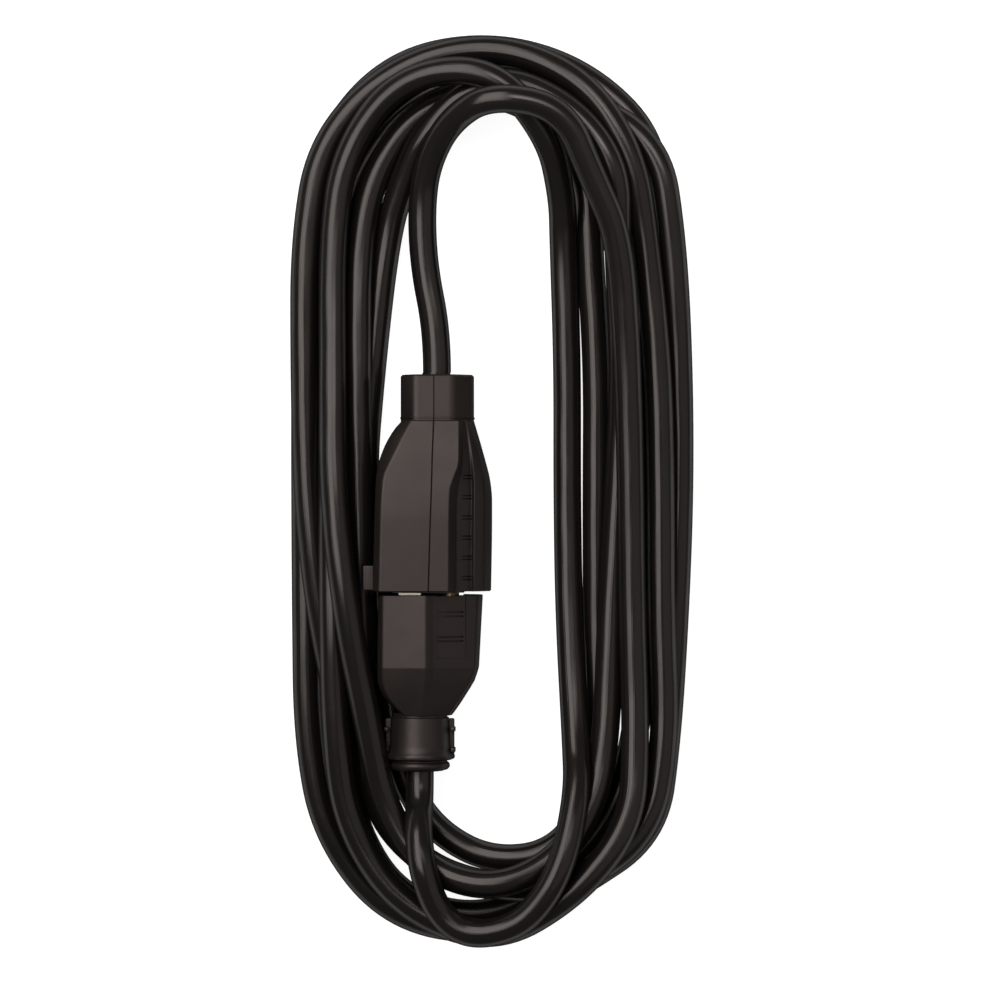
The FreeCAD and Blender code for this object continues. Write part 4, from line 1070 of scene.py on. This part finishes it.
jacket = jacket_finish()
moulding = finish(
    "black_moulding",
    (0.0058, 0.0044, 0.0038),
    (0.0082, 0.0060, 0.0050),
    drift=90.0,
    grain=2600.0,
    smooth=0.40,
    rough=0.50,
    bump=0.14,
    shine=0.45,
    Specular_Tint=(1.0, 0.82, 0.77, 1.0),
)[0]
contact_block = finish(
    "contact_block_plastic",
    (0.020, 0.018, 0.017),
    (0.026, 0.023, 0.021),
    drift=120.0,
    grain=1800.0,
    smooth=0.55,
    rough=0.70,
    bump=0.30,
)[0]


def wire_insulation(name, colour, other):
    """Smooth coloured insulation round one conductor."""
    return finish(name, colour, other, drift=150.0, grain=1500.0, smooth=0.35, rough=0.50, bump=0.10)[0]


hot_insulation = wire_insulation("hot_insulation", (0.012, 0.012, 0.012), (0.020, 0.019, 0.018))
neutral_insulation = wire_insulation("neutral_insulation", (0.75, 0.74, 0.70), (0.66, 0.64, 0.58))
ground_insulation = wire_insulation("ground_insulation", (0.015, 0.16, 0.05), (0.012, 0.12, 0.04))
blade_brass = with_lines(
    finish(
        "blade_brass",
        (0.78, 0.70, 0.56),
        (0.66, 0.57, 0.43),
        drift=160.0,
        grain=2500.0,
        smooth=0.22,
        rough=0.38,
        bump=0.12,
        Metallic=1.0,
    ),
    along=60.0,
    across=3000.0,
    strength=0.3,
    distance=0.00003,
)
# Dull dark brass for the contacts, also put on the ground pin as painted shade
contact_brass = with_lines(
    finish(
        "contact_brass",
        (0.30, 0.21, 0.10),
        (0.22, 0.15, 0.07),
        drift=200.0,
        grain=2500.0,
        smooth=0.30,
        rough=0.50,
        bump=0.15,
        Metallic=1.0,
    ),
    along=90.0,
    across=2600.0,
    strength=0.3,
    distance=0.00003,
)
copper_strand = with_lines(
    finish(
        "copper_strand",
        (0.70, 0.30, 0.15),
        (0.50, 0.20, 0.10),
        drift=300.0,
        grain=2500.0,
        smooth=0.30,
        rough=0.45,
        bump=0.15,
        Metallic=1.0,
    ),
    along=120.0,
    across=4000.0,
    strength=0.8,
    distance=0.0001,
)

FINISH_BY_WORD = [
    ("_hot_insulation", hot_insulation),
    ("_neutral_insulation", neutral_insulation),
    ("_ground_insulation", ground_insulation),
    ("_copper", copper_strand),
    ("_contact_block", contact_block),
    ("_blade_bridge", contact_block),
    ("_contact", contact_brass),
    ("_blade", blade_brass),
    # The ground pin is brass like the blades; its darker finish is painted shade for the gap it lies in
    ("_pin", contact_brass),
    ("jacket", jacket),
    ("cord", jacket),
    ("lead", jacket),
    ("", moulding),
]


def dress(part):
    """Gives a part the finish that its name asks for."""
    part.data.materials.clear()
    part.data.materials.append(next(look for word, look in FINISH_BY_WORD if word in part.name))


for part in nodes.values():
    dress(part)
for piece in (connector_cord, coil_cord, connector_body, connector_sleeve, plug_body, relief):
    dress(piece)

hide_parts("connector_lead")
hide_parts("cord_coil", "plug_lead")
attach(coil_cord, "cord_and_plug")
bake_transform(connector_cord)

# Floor, light and world
FLOOR_REACH = 6.0
FLOOR_GLOW = 0.93
FLOOR_GREY = (0.3, 0.3, 0.3, 1.0)
FLOOR_ROUGHNESS = 0.9
WHITE = (1, 1, 1, 1)
WORLD_LIGHT = 0.2

floor_mesh = bpy.data.meshes.new("floor")
corners = [(x * FLOOR_REACH, y * FLOOR_REACH, 0) for x, y in ((-1, -1), (1, -1), (1, 1), (-1, 1))]
floor_mesh.from_pydata(corners, [], [(0, 1, 2, 3)])
floor = bpy.data.objects.new("floor", floor_mesh)
bpy.context.scene.collection.objects.link(floor)
paper = bpy.data.materials.new("white_floor")
paper.use_nodes = True
tree = paper.node_tree
shader = tree.nodes["Principled BSDF"]
shader.inputs["Base Color"].default_value = FLOOR_GREY
shader.inputs["Roughness"].default_value = FLOOR_ROUGHNESS
shader.inputs["Emission Color"].default_value = WHITE
seen = tree.nodes.new("ShaderNodeLightPath")
direct = node(
    tree, "Math", {0: seen.outputs["Is Camera Ray"], 1: seen.outputs["Is Glossy Ray"]}, operation="ADD"
)
rays = node(
    tree,
    "Math",
    {0: direct.outputs[0], 1: seen.outputs["Is Transmission Ray"]},
    operation="ADD",
    use_clamp=True,
)
glow = node(tree, "Math", {0: rays.outputs[0], 1: FLOOR_GLOW}, operation="MULTIPLY")
tree.links.new(glow.outputs[0], shader.inputs["Emission Strength"])
floor_mesh.materials.append(paper)


def soft_box(name, place, size, power, aim, spread=math.pi):
    """A rectangular lamp that looks at a point."""
    lamp = bpy.data.lights.new(name, "AREA")
    lamp.shape = "RECTANGLE"
    lamp.size, lamp.size_y = size
    lamp.energy = power
    lamp.spread = spread
    holder = bpy.data.objects.new(name, lamp)
    bpy.context.scene.collection.objects.link(holder)
    holder.location = place
    holder.rotation_mode = "QUATERNION"
    holder.rotation_quaternion = (Vector(aim) - Vector(place)).to_track_quat("-Z", "Y")


soft_box("key_light", place=(-0.40, 0.44, 0.75), size=(0.64, 1.02), power=9.4, aim=(-0.40, 0.44, 0.0))
soft_box(
    "top_light",
    place=(0.19, 0.55, 0.75),
    size=(0.42, 0.70),
    power=1.4,
    aim=(0.19, 0.55, 0.0),
    spread=math.radians(70),
)
soft_box("fill_light", place=(0.75, 0.0, 0.75), size=(0.9, 1.2), power=1.3, aim=(0.30, 0.0, 0.0))
world = bpy.data.worlds.new("studio")
bpy.context.scene.world = world
world.use_nodes = True
world.node_tree.nodes["Background"].inputs["Color"].default_value = WHITE
world.node_tree.nodes["Background"].inputs["Strength"].default_value = WORLD_LIGHT
bpy.context.scene.view_settings.view_transform = "Standard"
